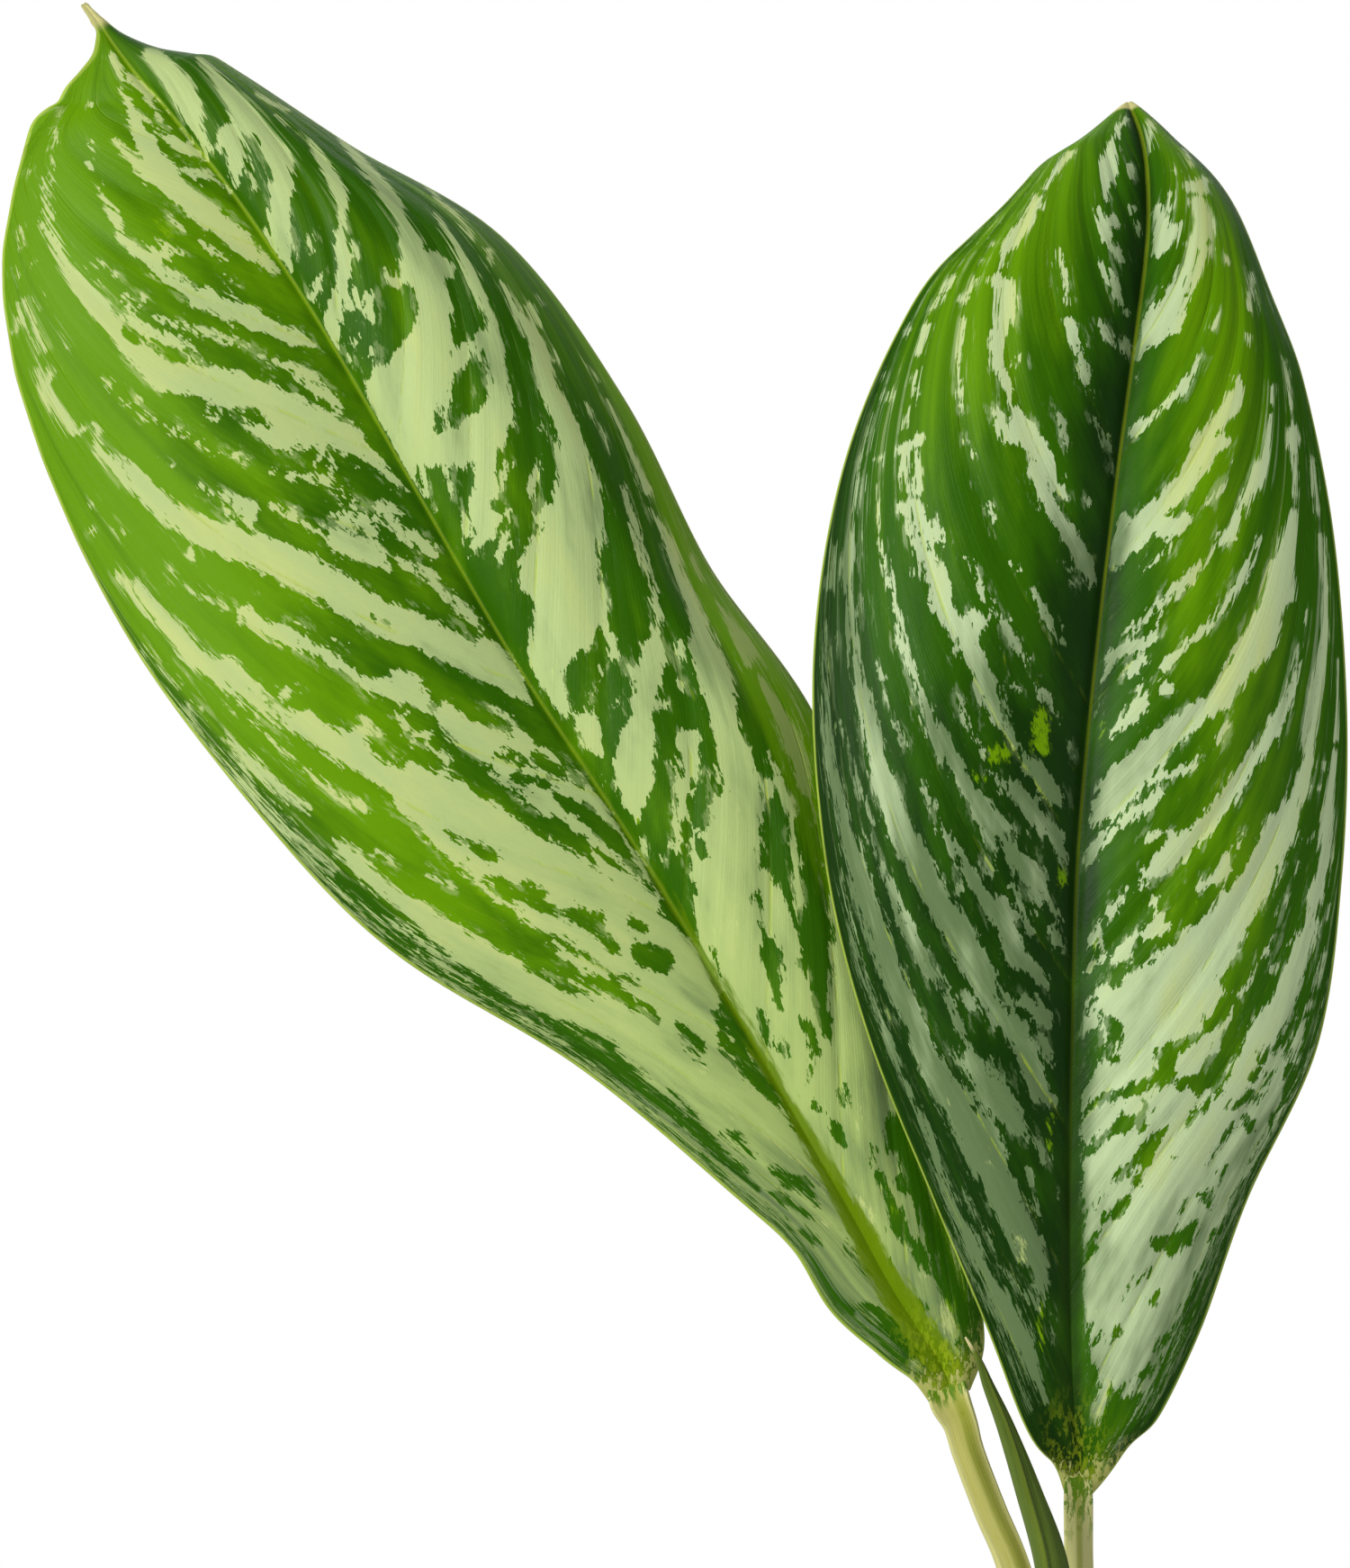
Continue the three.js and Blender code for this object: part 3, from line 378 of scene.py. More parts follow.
RIGHT_BLADE_LEFT = [
    (985, 55, 4, 942, 76, 2), (937, 82, 2, 905, 88, 5, 878, 98, 6, 865, 102, 3, 854, 100, 2),
    (932, 78, 2, 917, 80, 2), (841, 104, 6, 837, 98, 6, 824, 95, 7, 773, 96, 4, 744, 84, 2),
    (798, 103, 2, 784, 100, 3), (740, 82, 2, 723, 70, 9, 706, 57, 8), (735, 93, 3, 725, 87, 6, 715, 80, 5),
    (700, 66, 2, 693, 59, 7, 673, 48, 6, 634, 16, 7, 626, 10, 4, 619, 9, 2), (697, 51, 5, 679, 36, 3),
    (872, 63, 1, 859, 61, 3, 824, 53, 1), (812, 51, 4, 779, 35, 4, 761, 28, 2),
    (742, 53, 1, 733, 47, 2, 714, 40, 1), (777, 82, 2, 771, 80, 2), (880, 113, 1, 879, 112, 1),
    (861, 119, 1, 860, 118, 1), (844, 121, 1, 832, 123, 1), (827, 127, 2, 826, 126, 2),
    (808, 124, 1, 781, 124, 1, 749, 117, 1), (750, 122, 1, 735, 117, 1), (713, 111, 1, 700, 103, 1),
    (680, 99, 1, 680, 99, 1), (664, 89, 2, 653, 83, 1), (642, 81, 1, 642, 80, 1), (624, 67, 2, 619, 62, 1),
    (625, 98, 1, 598, 83, 2), (628, 31, 1, 620, 24, 2, 617, 16, 1), (847, 139, 2, 838, 142, 2),
    (829, 145, 2, 821, 148, 2), (805, 151, 3, 782, 154, 3), (770, 153, 2, 761, 154, 3, 748, 151, 3),
    (737, 154, 2, 724, 155, 3), (713, 145, 4, 708, 150, 5, 705, 158, 3),
    (703, 152, 3, 687, 151, 2, 675, 147, 2), (703, 146, 2, 676, 140, 3),
    (664, 142, 5, 650, 134, 4, 641, 126, 6), (661, 149, 3, 660, 148, 3), (656, 125, 2, 636, 117, 2),
    (645, 141, 3, 604, 115, 7), (611, 132, 3, 614, 128, 2), (806, 166, 2, 800, 168, 1),
    (755, 169, 1, 748, 170, 2), (766, 179, 1, 766, 178, 1), (751, 179, 2, 751, 178, 2),
    (739, 183, 1, 705, 186, 2), (702, 173, 1, 699, 170, 1), (680, 168, 1, 648, 165, 1),
    (638, 163, 2, 601, 151, 4), (702, 188, 2, 677, 185, 3, 652, 186, 2, 627, 185, 6, 603, 184, 3),
    (638, 199, 2, 606, 196, 2), (1016, 7, 1, 1008, 15, 2, 990, 23, 3), (987, 24, 4, 963, 29, 7, 926, 34, 3),
    (915, 37, 3, 889, 30, 5), (906, 27, 5, 906, 26, 5), (883, 26, 3, 873, 19, 3),
    (865, 33, 2, 847, 20, 4, 830, 9, 1), (964, 13, 1, 953, 13, 1), (922, 13, 2, 921, 12, 2),
    (910, 7, 2, 900, 5, 1), (815, 26, 4, 803, 17, 2), (808, 5, 5, 799, 5, 3), (742, 22, 2, 724, 10, 2),
    (713, 6, 1, 707, 4, 1), (679, 20, 1, 678, 19, 1),
    (613, 185, 2, 537, 167, 5, 467, 140, 8, 435, 124, 8, 370, 81, 10, 336, 62, 9, 307, 41, 8),
    (595, 173, 2, 585, 175, 3), (332, 55, -1, 320, 46, -2),
    (611, 156, 2, 589, 146, 2, 579, 140, 3, 561, 137, 4, 554, 133, 2, 537, 125, 2, 529, 123, 3,
     491, 100, 6, 471, 85, 5, 442, 59, 7), (436, 57, 5, 412, 37, 5, 405, 27, 4, 383, 11, 1),
    (420, 42, 6, 416, 26, 3), (456, 70, 4, 449, 72, 4, 427, 59, 2), (400, 33, 3, 392, 29, 4, 384, 30, 1),
    (611, 126, 3, 604, 117, 7, 593, 114, 7, 552, 83, 6, 527, 72, 7, 499, 52, 2, 492, 46, 2, 485, 39, 7,
     469, 19, 6, 462, 14, 2), (580, 97, 3, 582, 89, 5, 579, 82, 3), (574, 87, 6, 565, 89, 5),
    (558, 99, 2, 555, 91, 3), (607, 89, 2, 592, 78, 2), (586, 77, 2, 581, 70, 3, 556, 51, 2),
    (606, 52, 2, 573, 26, 1), (590, 30, 1, 582, 26, 1), (543, 42, 1, 535, 35, 4, 518, 22, 1),
    (509, 17, 1, 498, 10, 1), (540, 62, 1, 536, 55, 2), (548, 155, 1, 538, 150, 2),
    (524, 146, 2, 519, 143, 1), (511, 139, 1, 493, 128, 1), (527, 94, 1, 516, 90, 2, 490, 71, 2),
    (466, 112, 2, 450, 103, 2), (441, 99, 3, 406, 71, 5), (398, 83, 3, 407, 81, 2),
    (406, 74, 4, 388, 58, 6, 357, 40, 8, 338, 19, 2), (403, 46, 2, 375, 34, 3), (392, 52, 4, 383, 45, 5),
    (478, 67, 2, 461, 40, 7, 446, 26, 6, 441, 17, 5, 423, 10, 2), (466, 61, 1, 466, 61, 1),
    (445, 47, 1, 440, 42, 1), (420, 66, 2, 413, 60, 2), (378, 18, 2, 370, 14, 4, 365, 8, 2),
    (329, 37, 4, 319, 21, 6), (330, 81, 2, 327, 75, 4, 322, 70, 2), (613, 198, 3, 606, 198, 3),
    (579, 198, 1, 520, 191, 3, 480, 182, 4, 456, 173, 4),
    (459, 174, 4, 417, 158, 7, 337, 124, 9, 314, 111, 6),
    (507, 179, 1, 498, 171, 1, 467, 161, 2, 447, 149, 2), (444, 145, 2, 443, 144, 2),
    (434, 148, 1, 382, 121, 4, 344, 99, 4, 327, 86, 2, 310, 79, 3), (569, 188, 1, 561, 186, 1),
    (412, 169, 1, 363, 156, 2, 315, 138, 2), (321, 132, 1, 314, 127, 2),
    (324, 140, 1, 294, 127, 4, 285, 123, 2),
    (279, 121, 1, 235, 98, 4, 216, 93, 3, 180, 78, 4, 161, 66, 7, 151, 63, 5),
    (154, 63, 2, 129, 50, 8, 104, 34, 8, 63, 20, 2), (178, 89, 1, 121, 56, 1), (109, 51, 1, 57, 30, 1),
    (323, 116, 5, 293, 104, 8, 236, 66, 12, 169, 32, 10, 154, 25, 8, 130, 18, 2), (316, 84, 2, 286, 65, 2),
    (293, 84, 2, 284, 79, 3), (288, 73, 3, 277, 67, 6, 261, 51, 9, 243, 37, 6), (288, 60, 2, 255, 40, 5),
    (252, 60, 6, 237, 57, 8, 224, 50, 6), (256, 59, -1, 230, 47, -1, 224, 41, -2),
    (243, 35, 3, 223, 19, 3, 220, 15, 1),
    (321, 62, 3, 312, 53, 4, 307, 42, 5, 294, 34, 8, 279, 27, 9, 266, 23, 6, 262, 15, 3),
    (302, 23, 4, 285, 13, 2), (321, 50, 2, 318, 42, 2), (320, 25, 4, 315, 18, 2), (276, 15, -4, 276, 14, -4),
    (215, 30, 1, 185, 22, 1), (200, 11, 1, 196, 9, 1), (123, 15, 1, 100, 11, 1), (154, 34, -1, 146, 28, -2),
    (147, 37, -4, 137, 31, -3), (154, 50, 1, 127, 29, 2, 124, 23, 1), (168, 58, 1, 157, 50, 1),
    (215, 71, 2, 209, 68, 1), (202, 76, 1, 170, 56, 1),
]
RIGHT_BLADE_RIGHT = [
    (1009, 8, 3, 983, 4, 2), (925, 7, 5, 897, 12, 8, 888, 9, 4), (901, 17, 6, 909, 23, 2),
    (924, 15, 2, 939, 17, 1), (960, 19, 1, 959, 20, 1), (983, 30, 2, 968, 33, 2),
    (945, 29, 5, 947, 37, 7, 957, 42, 3), (931, 36, 7, 917, 40, 7, 904, 39, 7, 894, 33, 6),
    (894, 44, 3, 854, 31, 4), (891, 32, 4, 877, 31, 4, 850, 22, 6),
    (845, 24, 9, 831, 18, 12, 820, 12, 11, 801, 3, 3), (831, 32, 3, 824, 27, 6), (782, 5, 1, 781, 5, 1),
    (802, 48, 1, 771, 37, 3, 753, 24, 2, 740, 9, 4), (790, 75, 2, 781, 78, 4, 769, 74, 6, 734, 55, 5),
    (738, 72, 4, 733, 62, 8, 703, 49, 8, 681, 34, 6), (679, 32, 7, 657, 15, 12, 637, 6, 3),
    (675, 54, 3, 668, 47, 7, 666, 36, 7), (670, 8, 5, 669, 8, 5), (708, 79, 1, 685, 64, 1),
    (723, 80, 1, 723, 81, 1), (651, 45, 1, 632, 26, 1),
    (769, 103, 1, 732, 103, 3, 720, 100, 5, 694, 92, 3, 668, 83, 5, 659, 78, 3), (652, 73, 2, 620, 50, 3),
    (669, 106, 1, 630, 93, 3), (885, 79, 2, 854, 80, 3), (828, 81, 2, 820, 82, 1), (841, 58, 1, 826, 55, 1),
    (889, 58, 2, 888, 59, 2), (793, 102, 1, 779, 103, 1),
    (769, 124, 2, 756, 123, 6, 743, 125, 2, 709, 128, 2), (697, 128, 3, 634, 125, 11),
    (822, 111, 1, 781, 120, 1), (747, 141, 1, 705, 149, 3), (684, 153, 3, 647, 160, 2),
    (632, 59, 3, 600, 36, 4, 587, 20, 2), (588, 42, 2, 581, 34, 5, 571, 12, 3, 554, 7, 2),
    (569, 35, 2, 563, 28, 5, 556, 23, 2), (537, 5, 2, 531, 3, 1),
    (627, 91, 3, 614, 86, 3, 594, 73, 2, 564, 50, 3), (555, 36, 1, 548, 35, 1),
    (546, 39, 2, 538, 36, 5, 527, 28, 5, 513, 16, 1), (550, 44, 2, 548, 53, 3),
    (645, 123, 12, 618, 120, 9, 596, 114, 12, 580, 104, 12, 559, 95, 9, 542, 84, 7, 516, 57, 9,
     484, 30, 14, 467, 19, 11, 454, 9, 3), (539, 80, 3, 545, 94, 4), (478, 57, 3, 437, 13, 4, 424, 7, 2),
    (511, 86, 1, 496, 75, 3, 482, 45, 1), (528, 96, 1, 515, 90, 1), (446, 64, 3, 445, 65, 3),
    (441, 48, 1, 450, 57, 1), (600, 143, 1, 569, 140, 2, 528, 127, 5, 458, 89, 6, 424, 58, 8, 420, 51, 4),
    (412, 50, 2, 399, 32, 3, 373, 12, 3, 368, 10, 2), (399, 55, 4, 401, 58, 2),
    (388, 60, 3, 379, 58, 7, 375, 49, 5, 382, 69, 2), (375, 44, 3, 360, 35, 5, 356, 31, 2),
    (368, 20, 2, 360, 22, 2, 350, 9, 2), (369, 71, 3, 364, 67, 1),
    (434, 103, 2, 423, 102, 4, 415, 93, 3, 409, 84, 4), (453, 114, 1, 443, 110, 1),
    (482, 149, 6, 462, 141, 12, 419, 125, 11, 379, 102, 16, 340, 68, 22, 325, 48, 22, 309, 41, 16),
    (322, 19, 5, 318, 14, 3), (625, 145, 2, 616, 145, 2), (604, 146, 1, 584, 142, 1),
    (645, 159, 2, 613, 162, 3, 532, 156, 4, 517, 157, 5, 490, 151, 7), (596, 174, 1, 538, 178, 2),
    (529, 179, 1, 476, 176, 6, 447, 176, 6, 431, 174, 4, 416, 169, 6, 402, 165, 3, 392, 166, 6),
    (515, 172, 3, 515, 172, 3), (497, 167, 1, 497, 168, 1), (383, 164, 7, 329, 146, 10, 294, 117, 10),
    (460, 164, 1, 452, 159, 1), (437, 156, 2, 391, 142, 1), (378, 138, 2, 377, 139, 2),
    (370, 136, 1, 346, 122, 2, 335, 111, 4, 310, 101, 4, 294, 88, 5), (356, 138, 3, 356, 138, 3),
    (408, 181, 1, 396, 181, 1), (370, 178, 2, 347, 172, 2), (337, 169, 2, 317, 160, 4, 295, 156, 3),
    (310, 148, 1, 299, 143, 3), (314, 34, 27, 271, 39, 31, 217, 39, 31, 109, 27, 16, 48, 13, 4),
    (315, 86, 31, 263, 91, 31, 208, 79, 30, 72, 35, 9), (301, 132, 18, 265, 127, 20, 71, 48, 6),
    (321, 21, -3, 314, 28, -5, 305, 30, -5, 294, 25, -5, 294, 14, -8, 271, 6, -3), (316, 10, 4, 307, 5, 3),
    (252, 8, -2, 263, 20, -4, 274, 58, -4, 281, 66, -6, 294, 64, -6, 306, 86, -2),
    (222, 5, -2, 245, 33, -6, 249, 47, -5, 259, 52, -4, 269, 48, -3),
    (273, 74, -3, 278, 98, -8, 335, 123, -6), (282, 92, -5, 292, 98, -4, 300, 113, -3),
    (316, 94, -4, 324, 104, -4), (249, 79, -3, 269, 102, -1), (207, 30, -1, 224, 50, -5, 246, 67, -1),
    (217, 47, -3, 208, 47, -2), (185, 10, -1, 200, 26, -1), (183, 25, -3, 188, 33, -4, 196, 39, -3),
    (156, 9, -3, 164, 14, -4, 173, 18, -2), (168, 58, -3, 166, 69, -7, 172, 79, -6, 181, 87, -3),
    (135, 40, -1, 149, 56, -1), (129, 35, -1, 129, 35, -1), (128, 57, -3, 134, 60, -1),
    (200, 92, -3, 195, 97, -4, 203, 100, -2), (192, 96, -2, 191, 97, -2), (189, 77, -1, 195, 80, -2),
    (259, 110, -2, 269, 125, -4, 266, 129, -2), (281, 126, -3, 287, 133, -1), (274, 135, -2, 284, 139, -2),
    (221, 95, -1, 249, 112, -2), (211, 104, -2, 220, 108, -2), (226, 70, -1, 226, 70, -1),
    (302, 142, -4, 327, 164, -3), (294, 132, -3, 307, 142, -2), (302, 167, -3, 274, 154, -1),
    (248, 124, -4, 255, 121, -2), (182, 107, -1, 275, 152, -1), (143, 91, -1, 171, 99, -2, 177, 105, -1),
    (108, 72, -2, 132, 85, -2, 145, 89, -1),
    (322, 180, -3, 254, 155, -3, 160, 108, -2, 89, 81, -4, 62, 67, -6, 41, 50, -7, 20, 29, -4),
    (94, 58, -2, 103, 68, -3), (76, 47, -3, 81, 55, -3), (66, 32, -1, 71, 38, -2, 70, 46, -2),
    (99, 16, -3, 106, 19, -2), (95, 25, -1, 108, 34, -2),
    (111, 11, -3, 98, 9, -3, 80, 14, -4, 67, 13, -4, 59, 7, -4),
    (49, 21, -2, 56, 25, -3, 54, 35, -3, 60, 38, -2), (37, 12, -4, 40, 38, -6, 47, 50, -4),
    (23, 7, -5, 25, 22, -5), (71, 69, -2, 82, 75, -1),
    (439, 152, -3, 418, 149, -4, 382, 136, -3, 369, 125, -7, 344, 114, -3),
    (334, 108, -2, 325, 104, -5, 312, 95, -3), (360, 133, -3, 343, 129, -7, 295, 104, -4),
    (302, 16, -9, 311, 23, -3), (291, 29, -3, 291, 30, -3),
]
# Yellow-green flecks, laid out in the same way.
LEFT_FLECKS_LEFT = [
    (251, 47, 1, 227, 31, 1), (219, 27, 1, 199, 18, 2, 149, 4, 2), (250, 17, 3, 250, 17, 3),
    (275, 42, 4, 275, 42, 4), (181, 36, 2, 181, 36, 2), (145, 18, 3, 144, 18, 3), (33, 16, 4, 33, 16, 4),
    (84, 11, 2, 67, 10, 2), (581, 67, 2, 575, 62, 2), (470, 109, 4, 458, 106, 7), (514, 155, 2, 514, 155, 2),
    (389, 102, 2, 389, 102, 2), (570, 123, 1, 565, 120, 1), (540, 107, 1, 530, 102, 2),
    (492, 87, 1, 482, 81, 1), (463, 70, 1, 419, 41, 1), (1012, 59, 3, 998, 56, 6), (921, 40, 2, 912, 30, 3),
    (959, 10, 3, 947, 6, 4), (883, 25, 2, 873, 20, 2), (755, 51, 2, 738, 39, 2), (786, 23, 2, 772, 13, 2),
]
LEFT_FLECKS_RIGHT = [
    (147, 28, 3, 147, 29, 3), (130, 28, 3, 129, 29, 3), (217, 50, 1, 189, 36, 2), (53, 26, 6, 40, 19, 6),
    (79, 24, 3, 78, 24, 3), (147, 11, 4, 130, 12, 3), (745, 71, 1, 735, 63, 1), (657, 86, 1, 648, 81, 1),
    (779, 9, 1, 778, 9, 1), (656, 86, 1, 642, 78, 1), (578, 27, 2, 567, 17, 2), (475, 22, 1, 474, 23, 1),
    (435, 84, 1, 409, 71, 1), (363, 37, 2, 348, 28, 2), (358, 19, 2, 357, 19, 2), (385, 46, 1, 384, 46, 1),
    (452, 12, 3, 451, 12, 3), (1097, 14, 2, 1094, 10, 2), (964, 4, 3, 956, 3, 3), (979, 28, 1, 972, 23, 1),
]
RIGHT_FLECKS_LEFT = [
    (522, 36, 7, 500, 34, 8), (491, 64, 8, 492, 56, 6), (418, 11, 5, 408, 11, 5), (474, 75, 4, 474, 74, 4),
    (124, 22, 2, 99, 22, 3), (250, 15, 3, 228, 17, 3), (169, 36, 4, 157, 33, 4), (259, 86, 2, 259, 86, 2),
    (221, 55, 2, 221, 55, 2),
]
RIGHT_FLECKS_RIGHT = [
    (258, 60, 3, 258, 61, 3), (313, 68, 2, 312, 69, 2), (255, 16, 2, 273, 22, 1), (174, 27, 2, 173, 28, 2),
    (121, 16, 3, 121, 16, 3), (72, 26, 4, 51, 17, 4), (521, 10, 3, 510, 10, 3), (397, 85, 3, 397, 85, 3),
    (368, 16, 4, 367, 17, 4),
]

# The vein law: how far a side vein sweeps along the blade, in millimetres near the base and near the tip,
# and how close to the margin it runs out.
VEIN_SWEEP = (28, 50)
VEIN_SWEEP_LENGTH = 150
VEIN_REACH = 0.95

# How deep in silver a point can lie, in millimetres, and how deep the ground lies where it is plain green
# and where fine streaks mottle it.
DEEPEST_FIELD = 7.0
GREEN_GROUND = -2.5
MOTTLED_GROUND = 0.05

# How finely a blade is built: its rows from base to tip, the columns of each half, the steps that sum up a
# half section, and the passes that smooth the midrib's direction. The shoulder is smoothed over a distance
# in millimetres.
BLADE_ROWS = 331
BLADE_COLUMNS = 62
SECTION_STEPS = 256
FRAME_SMOOTHING = 12
SHOULDER_SOFTNESS = 1.6

# For each half of a blade, the side of the midrib it lies on and its place in a station.
HALVES = {"left": (-1, 1), "right": (1, 2)}

# Where the camera stands beside the pot's axis and over the floor, and what the lights aim at, in metres.
CAMERA_ACROSS = -0.05304
CAMERA_HEIGHT = 0.32228
PLANT_MIDDLE = (-0.04, 0.02, 0.3)

# For each light, its place in metres, the angle in degrees over which its shadows soften, and its colour.
LIGHTS = {
    "key": ((-1.3, -0.75, 1.15), 28, (1.0, 0.99, 0.95)),
    "fill": ((1.2, -0.9, 0.6), 60, (0.96, 0.98, 1.0)),
    "rim": ((0.3, 1.2, 1.1), 50, (1.0, 1.0, 1.0)),
}


def srgb(*levels):
    """A colour given by its 0 to 255 levels on a screen, as the linear values that Blender keeps."""
    shares = [level / 255 for level in levels]
    return tuple(s / 12.92 if s <= 0.04045 else ((s + 0.055) / 1.055) ** 2.4 for s in shares)


def length_of(name, description, default):
    kind = {"subtype": "DISTANCE", "unit": "LENGTH", "precision": 4}
    return bpy.props.FloatProperty(name=name, description=description, default=default, **kind)


def number_of(name, description, default):
    return bpy.props.FloatProperty(name=name, description=description, default=default)


def colour_of(name, description, *levels):
    return bpy.props.FloatVectorProperty(
        name=name, description=description, default=srgb(*levels), subtype="COLOR", min=0, max=1
    )


class PotSizes(bpy.types.PropertyGroup):
    height: length_of("Height", "From the foot to the rim", POT_HIGH.z)
    rim_radius: length_of("Rim radius", "Outer radius of the band under the rim", POT_HIGH.x)
    foot_radius: length_of("Foot radius", "Outer radius of the foot", 46 * MM)
    wall: length_of("Wall", "Thickness of the wall", 5.5 * MM)
    floor: length_of("Floor", "Thickness of the floor", 7 * MM)
    band_height: length_of("Band height", "Height of the thicker band under the rim", 22 * MM)
    band_step: length_of("Band step", "How far the band stands proud", 3.5 * MM)
    edge: length_of("Edge", "Size of the small bevels on the edges", 1.2 * MM)
    drain_radius: length_of("Drain radius", "Radius of each drain hole", 4.5 * MM)
    drain_circle: length_of("Drain circle", "Radius of the circle that the drain holes lie on", 24 * MM)
    wobble: number_of("Wobble", "How far hand throwing leaves the wall out of round, as a share", 0.006)
    clay: colour_of("Clay", "Fired clay", 178, 104, 72)
    pale_clay: colour_of("Pale clay", "Clay where it is dry and rubbed", 203, 138, 104)
    bloom: colour_of("Bloom", "Mineral salts dried on the outside", 214, 190, 168)
    damp: colour_of("Damp clay", "Clay darkened by wet soil", 104, 58, 40)


class SoilSizes(bpy.types.PropertyGroup):
    top: length_of("Top", "Mean height of the soil's surface", 106 * MM)
    relief: length_of("Relief", "Height of the low lumps", 1.1 * MM)
    mound: length_of("Mound", "Height of the mound round the cane", 2.2 * MM)
    crumb: length_of("Crumb", "Radius of the largest crumbs", 1.5 * MM)
    crumb_density: number_of("Crumb density", "Crumbs in a square metre", 420000.0)
    bark_density: number_of("Bark density", "Bark chips in a square metre", 9000.0)
    perlite_density: number_of("Perlite density", "White grains in a square metre", 9000.0)
    dark: colour_of("Dark", "Moist peat", 38, 27, 20)
    brown: colour_of("Brown", "Dry peat", 84, 62, 44)
    bark: colour_of("Bark", "Composted bark", 112, 74, 48)
    perlite: colour_of("Perlite", "White mineral grains", 224, 219, 206)


class CaneSizes(bpy.types.PropertyGroup):
    radius: length_of("Radius", "Radius between the scars", 6.6 * MM)
    scar: length_of("Scar", "How far a leaf scar stands proud", 0.6 * MM)
    skin: colour_of("Skin", "Green skin of the cane", 128, 142, 78)
    pale_skin: colour_of("Pale skin", "Skin just under a scar", 168, 170, 112)
    cork: colour_of("Cork", "Brown leaf scars", 128, 100, 66)


class StalkColours(bpy.types.PropertyGroup):
    cream: colour_of("Cream", "Pale stalk", 186, 184, 96)
    light: colour_of("Light", "Palest edges of the stalk", 206, 205, 136)
    stripe: colour_of("Stripe", "Olive stripe that runs down from the midrib", 140, 152, 20)
    blotch: colour_of("Blotch", "Green blotches at the top", 92, 132, 6)


class LeafLooks(bpy.types.PropertyGroup):
    # The tone picks among deep, green and bright, and grey-green for the silver streaks; as the tone carries
    # painted shade and light, the dark steps are partly painted shade and the bright ones partly painted
    # light.
    deep: colour_of("Deep green", "Green beside the midrib and low on the blade", 20, 54, 4)
    green: colour_of("Green", "Green over most of the blade", 48, 98, 0)
    bright: colour_of("Bright green", "Green towards the margins and the tip", 104, 156, 0)
    grey_green: colour_of("Grey-green", "Streaks low on the blade", 100, 124, 80)
    silver: colour_of("Silver", "Silver streaks", 184, 205, 138)
    frost: colour_of("Frost", "Silver streaks of the right blade, which are greyer", 190, 210, 162)
    sage: colour_of("Sage", "Silver streaks low on the left blade", 164, 187, 102)
    cream: colour_of("Cream", "The palest streaks", 200, 214, 134)
    # Glow is the yellow-green of the flecks, and also painted light where the tone runs high on the left
    # blade's fold and tip.
    glow: colour_of("Glow", "Bright patches in the green", 128, 176, 0)
    fleck: colour_of("Fleck", "Yellow-green flecks and vein lines", 180, 202, 40)
    olive: colour_of("Olive", "Midrib where it widens to the stalk", 112, 140, 0)
    margin: colour_of("Margin", "Thin line along the margin", 178, 204, 82)
    tan: colour_of("Tan", "Dried tip", 222, 200, 140)
    base: colour_of("Base", "Cream where the stalk runs into the blade", 196, 200, 112)
    under: colour_of("Underside", "Paler green of the lower face", 104, 136, 58)
    jag: number_of("Jag", "How ragged the streaks' edges are, in millimetres", 1.5)
    relief: length_of("Vein relief", "Depth of the sunken side veins", 0.28 * MM)


class FurledColours(bpy.types.PropertyGroup):
    green: colour_of("Green", "Rolled leaf", 62, 84, 6)
    # Grey is a grey bloom in the roll's streaks, and also painted light on the roll's left side, which faces
    # the key light.
    grey_and_painted_light: colour_of("Grey", "Bloom on the roll's left side", 90, 112, 38)
    lap: colour_of("Lap", "The rolled margin", 112, 130, 36)
    seam: colour_of("Seam", "Shade beside the rolled margin", 40, 58, 16)
    tip: colour_of("Tip", "Dry point", 226, 214, 158)


class StageSizes(bpy.types.PropertyGroup):
    floor_radius: length_of("Floor radius", "Radius of the pale floor", 1.9)
    floor_colour: colour_of("Floor", "Colour of the floor", 232, 232, 230)
    lens: number_of("Lens", "Focal length in millimetres", 172.2)
    distance: length_of("Distance", "From the camera to the pot's axis", 1.0)
    key: number_of("Key light", "Strength of the soft light from the upper left", 2.9)
    fill: number_of("Fill light", "Strength of the light from the right", 0.5)
    rim: number_of("Rim light", "Strength of the light from behind the plant", 0.8)
    sky: number_of("Sky", "Strength of the even light all round", 0.2)


class Value:
    """A node socket that can be used in sums, so that a material reads like the formula it follows."""

    def __init__(self, nodes, socket):
        self.nodes = nodes
        self.socket = socket

    def output(self, name):
        return Value(self.nodes, self.socket.node.outputs[name])

    def combined(self, operation, first, second=0.0):
        return self.nodes.add("ShaderNodeMath", {"operation": operation}, {0: first, 1: second})

    def __add__(self, other):
        return self.combined("ADD", self, other)

    def __radd__(self, other):
        return self.combined("ADD", other, self)

    def __sub__(self, other):
        return self.combined("SUBTRACT", self, other)

    def __rsub__(self, other):
        return self.combined("SUBTRACT", other, self)

    def __mul__(self, other):
        return self.combined("MULTIPLY", self, other)

    def __rmul__(self, other):
        return self.combined("MULTIPLY", other, self)

    def __truediv__(self, other):
        return self.combined("DIVIDE", self, other)

    def __pow__(self, other):
        return self.combined("POWER", self, other)

    def __abs__(self):
        return self.combined("ABSOLUTE", self)

    def sine(self):
        return self.combined("SINE", self)

    def floor(self):
        return self.combined("FLOOR", self)

    def over(self, low, high):
        """0 below low, 1 above high, and a soft step between them."""
        inputs = {"Value": self, "From Min": low, "From Max": high}
        return self.nodes.add("ShaderNodeMapRange", {"interpolation_type": "SMOOTHSTEP"}, inputs)


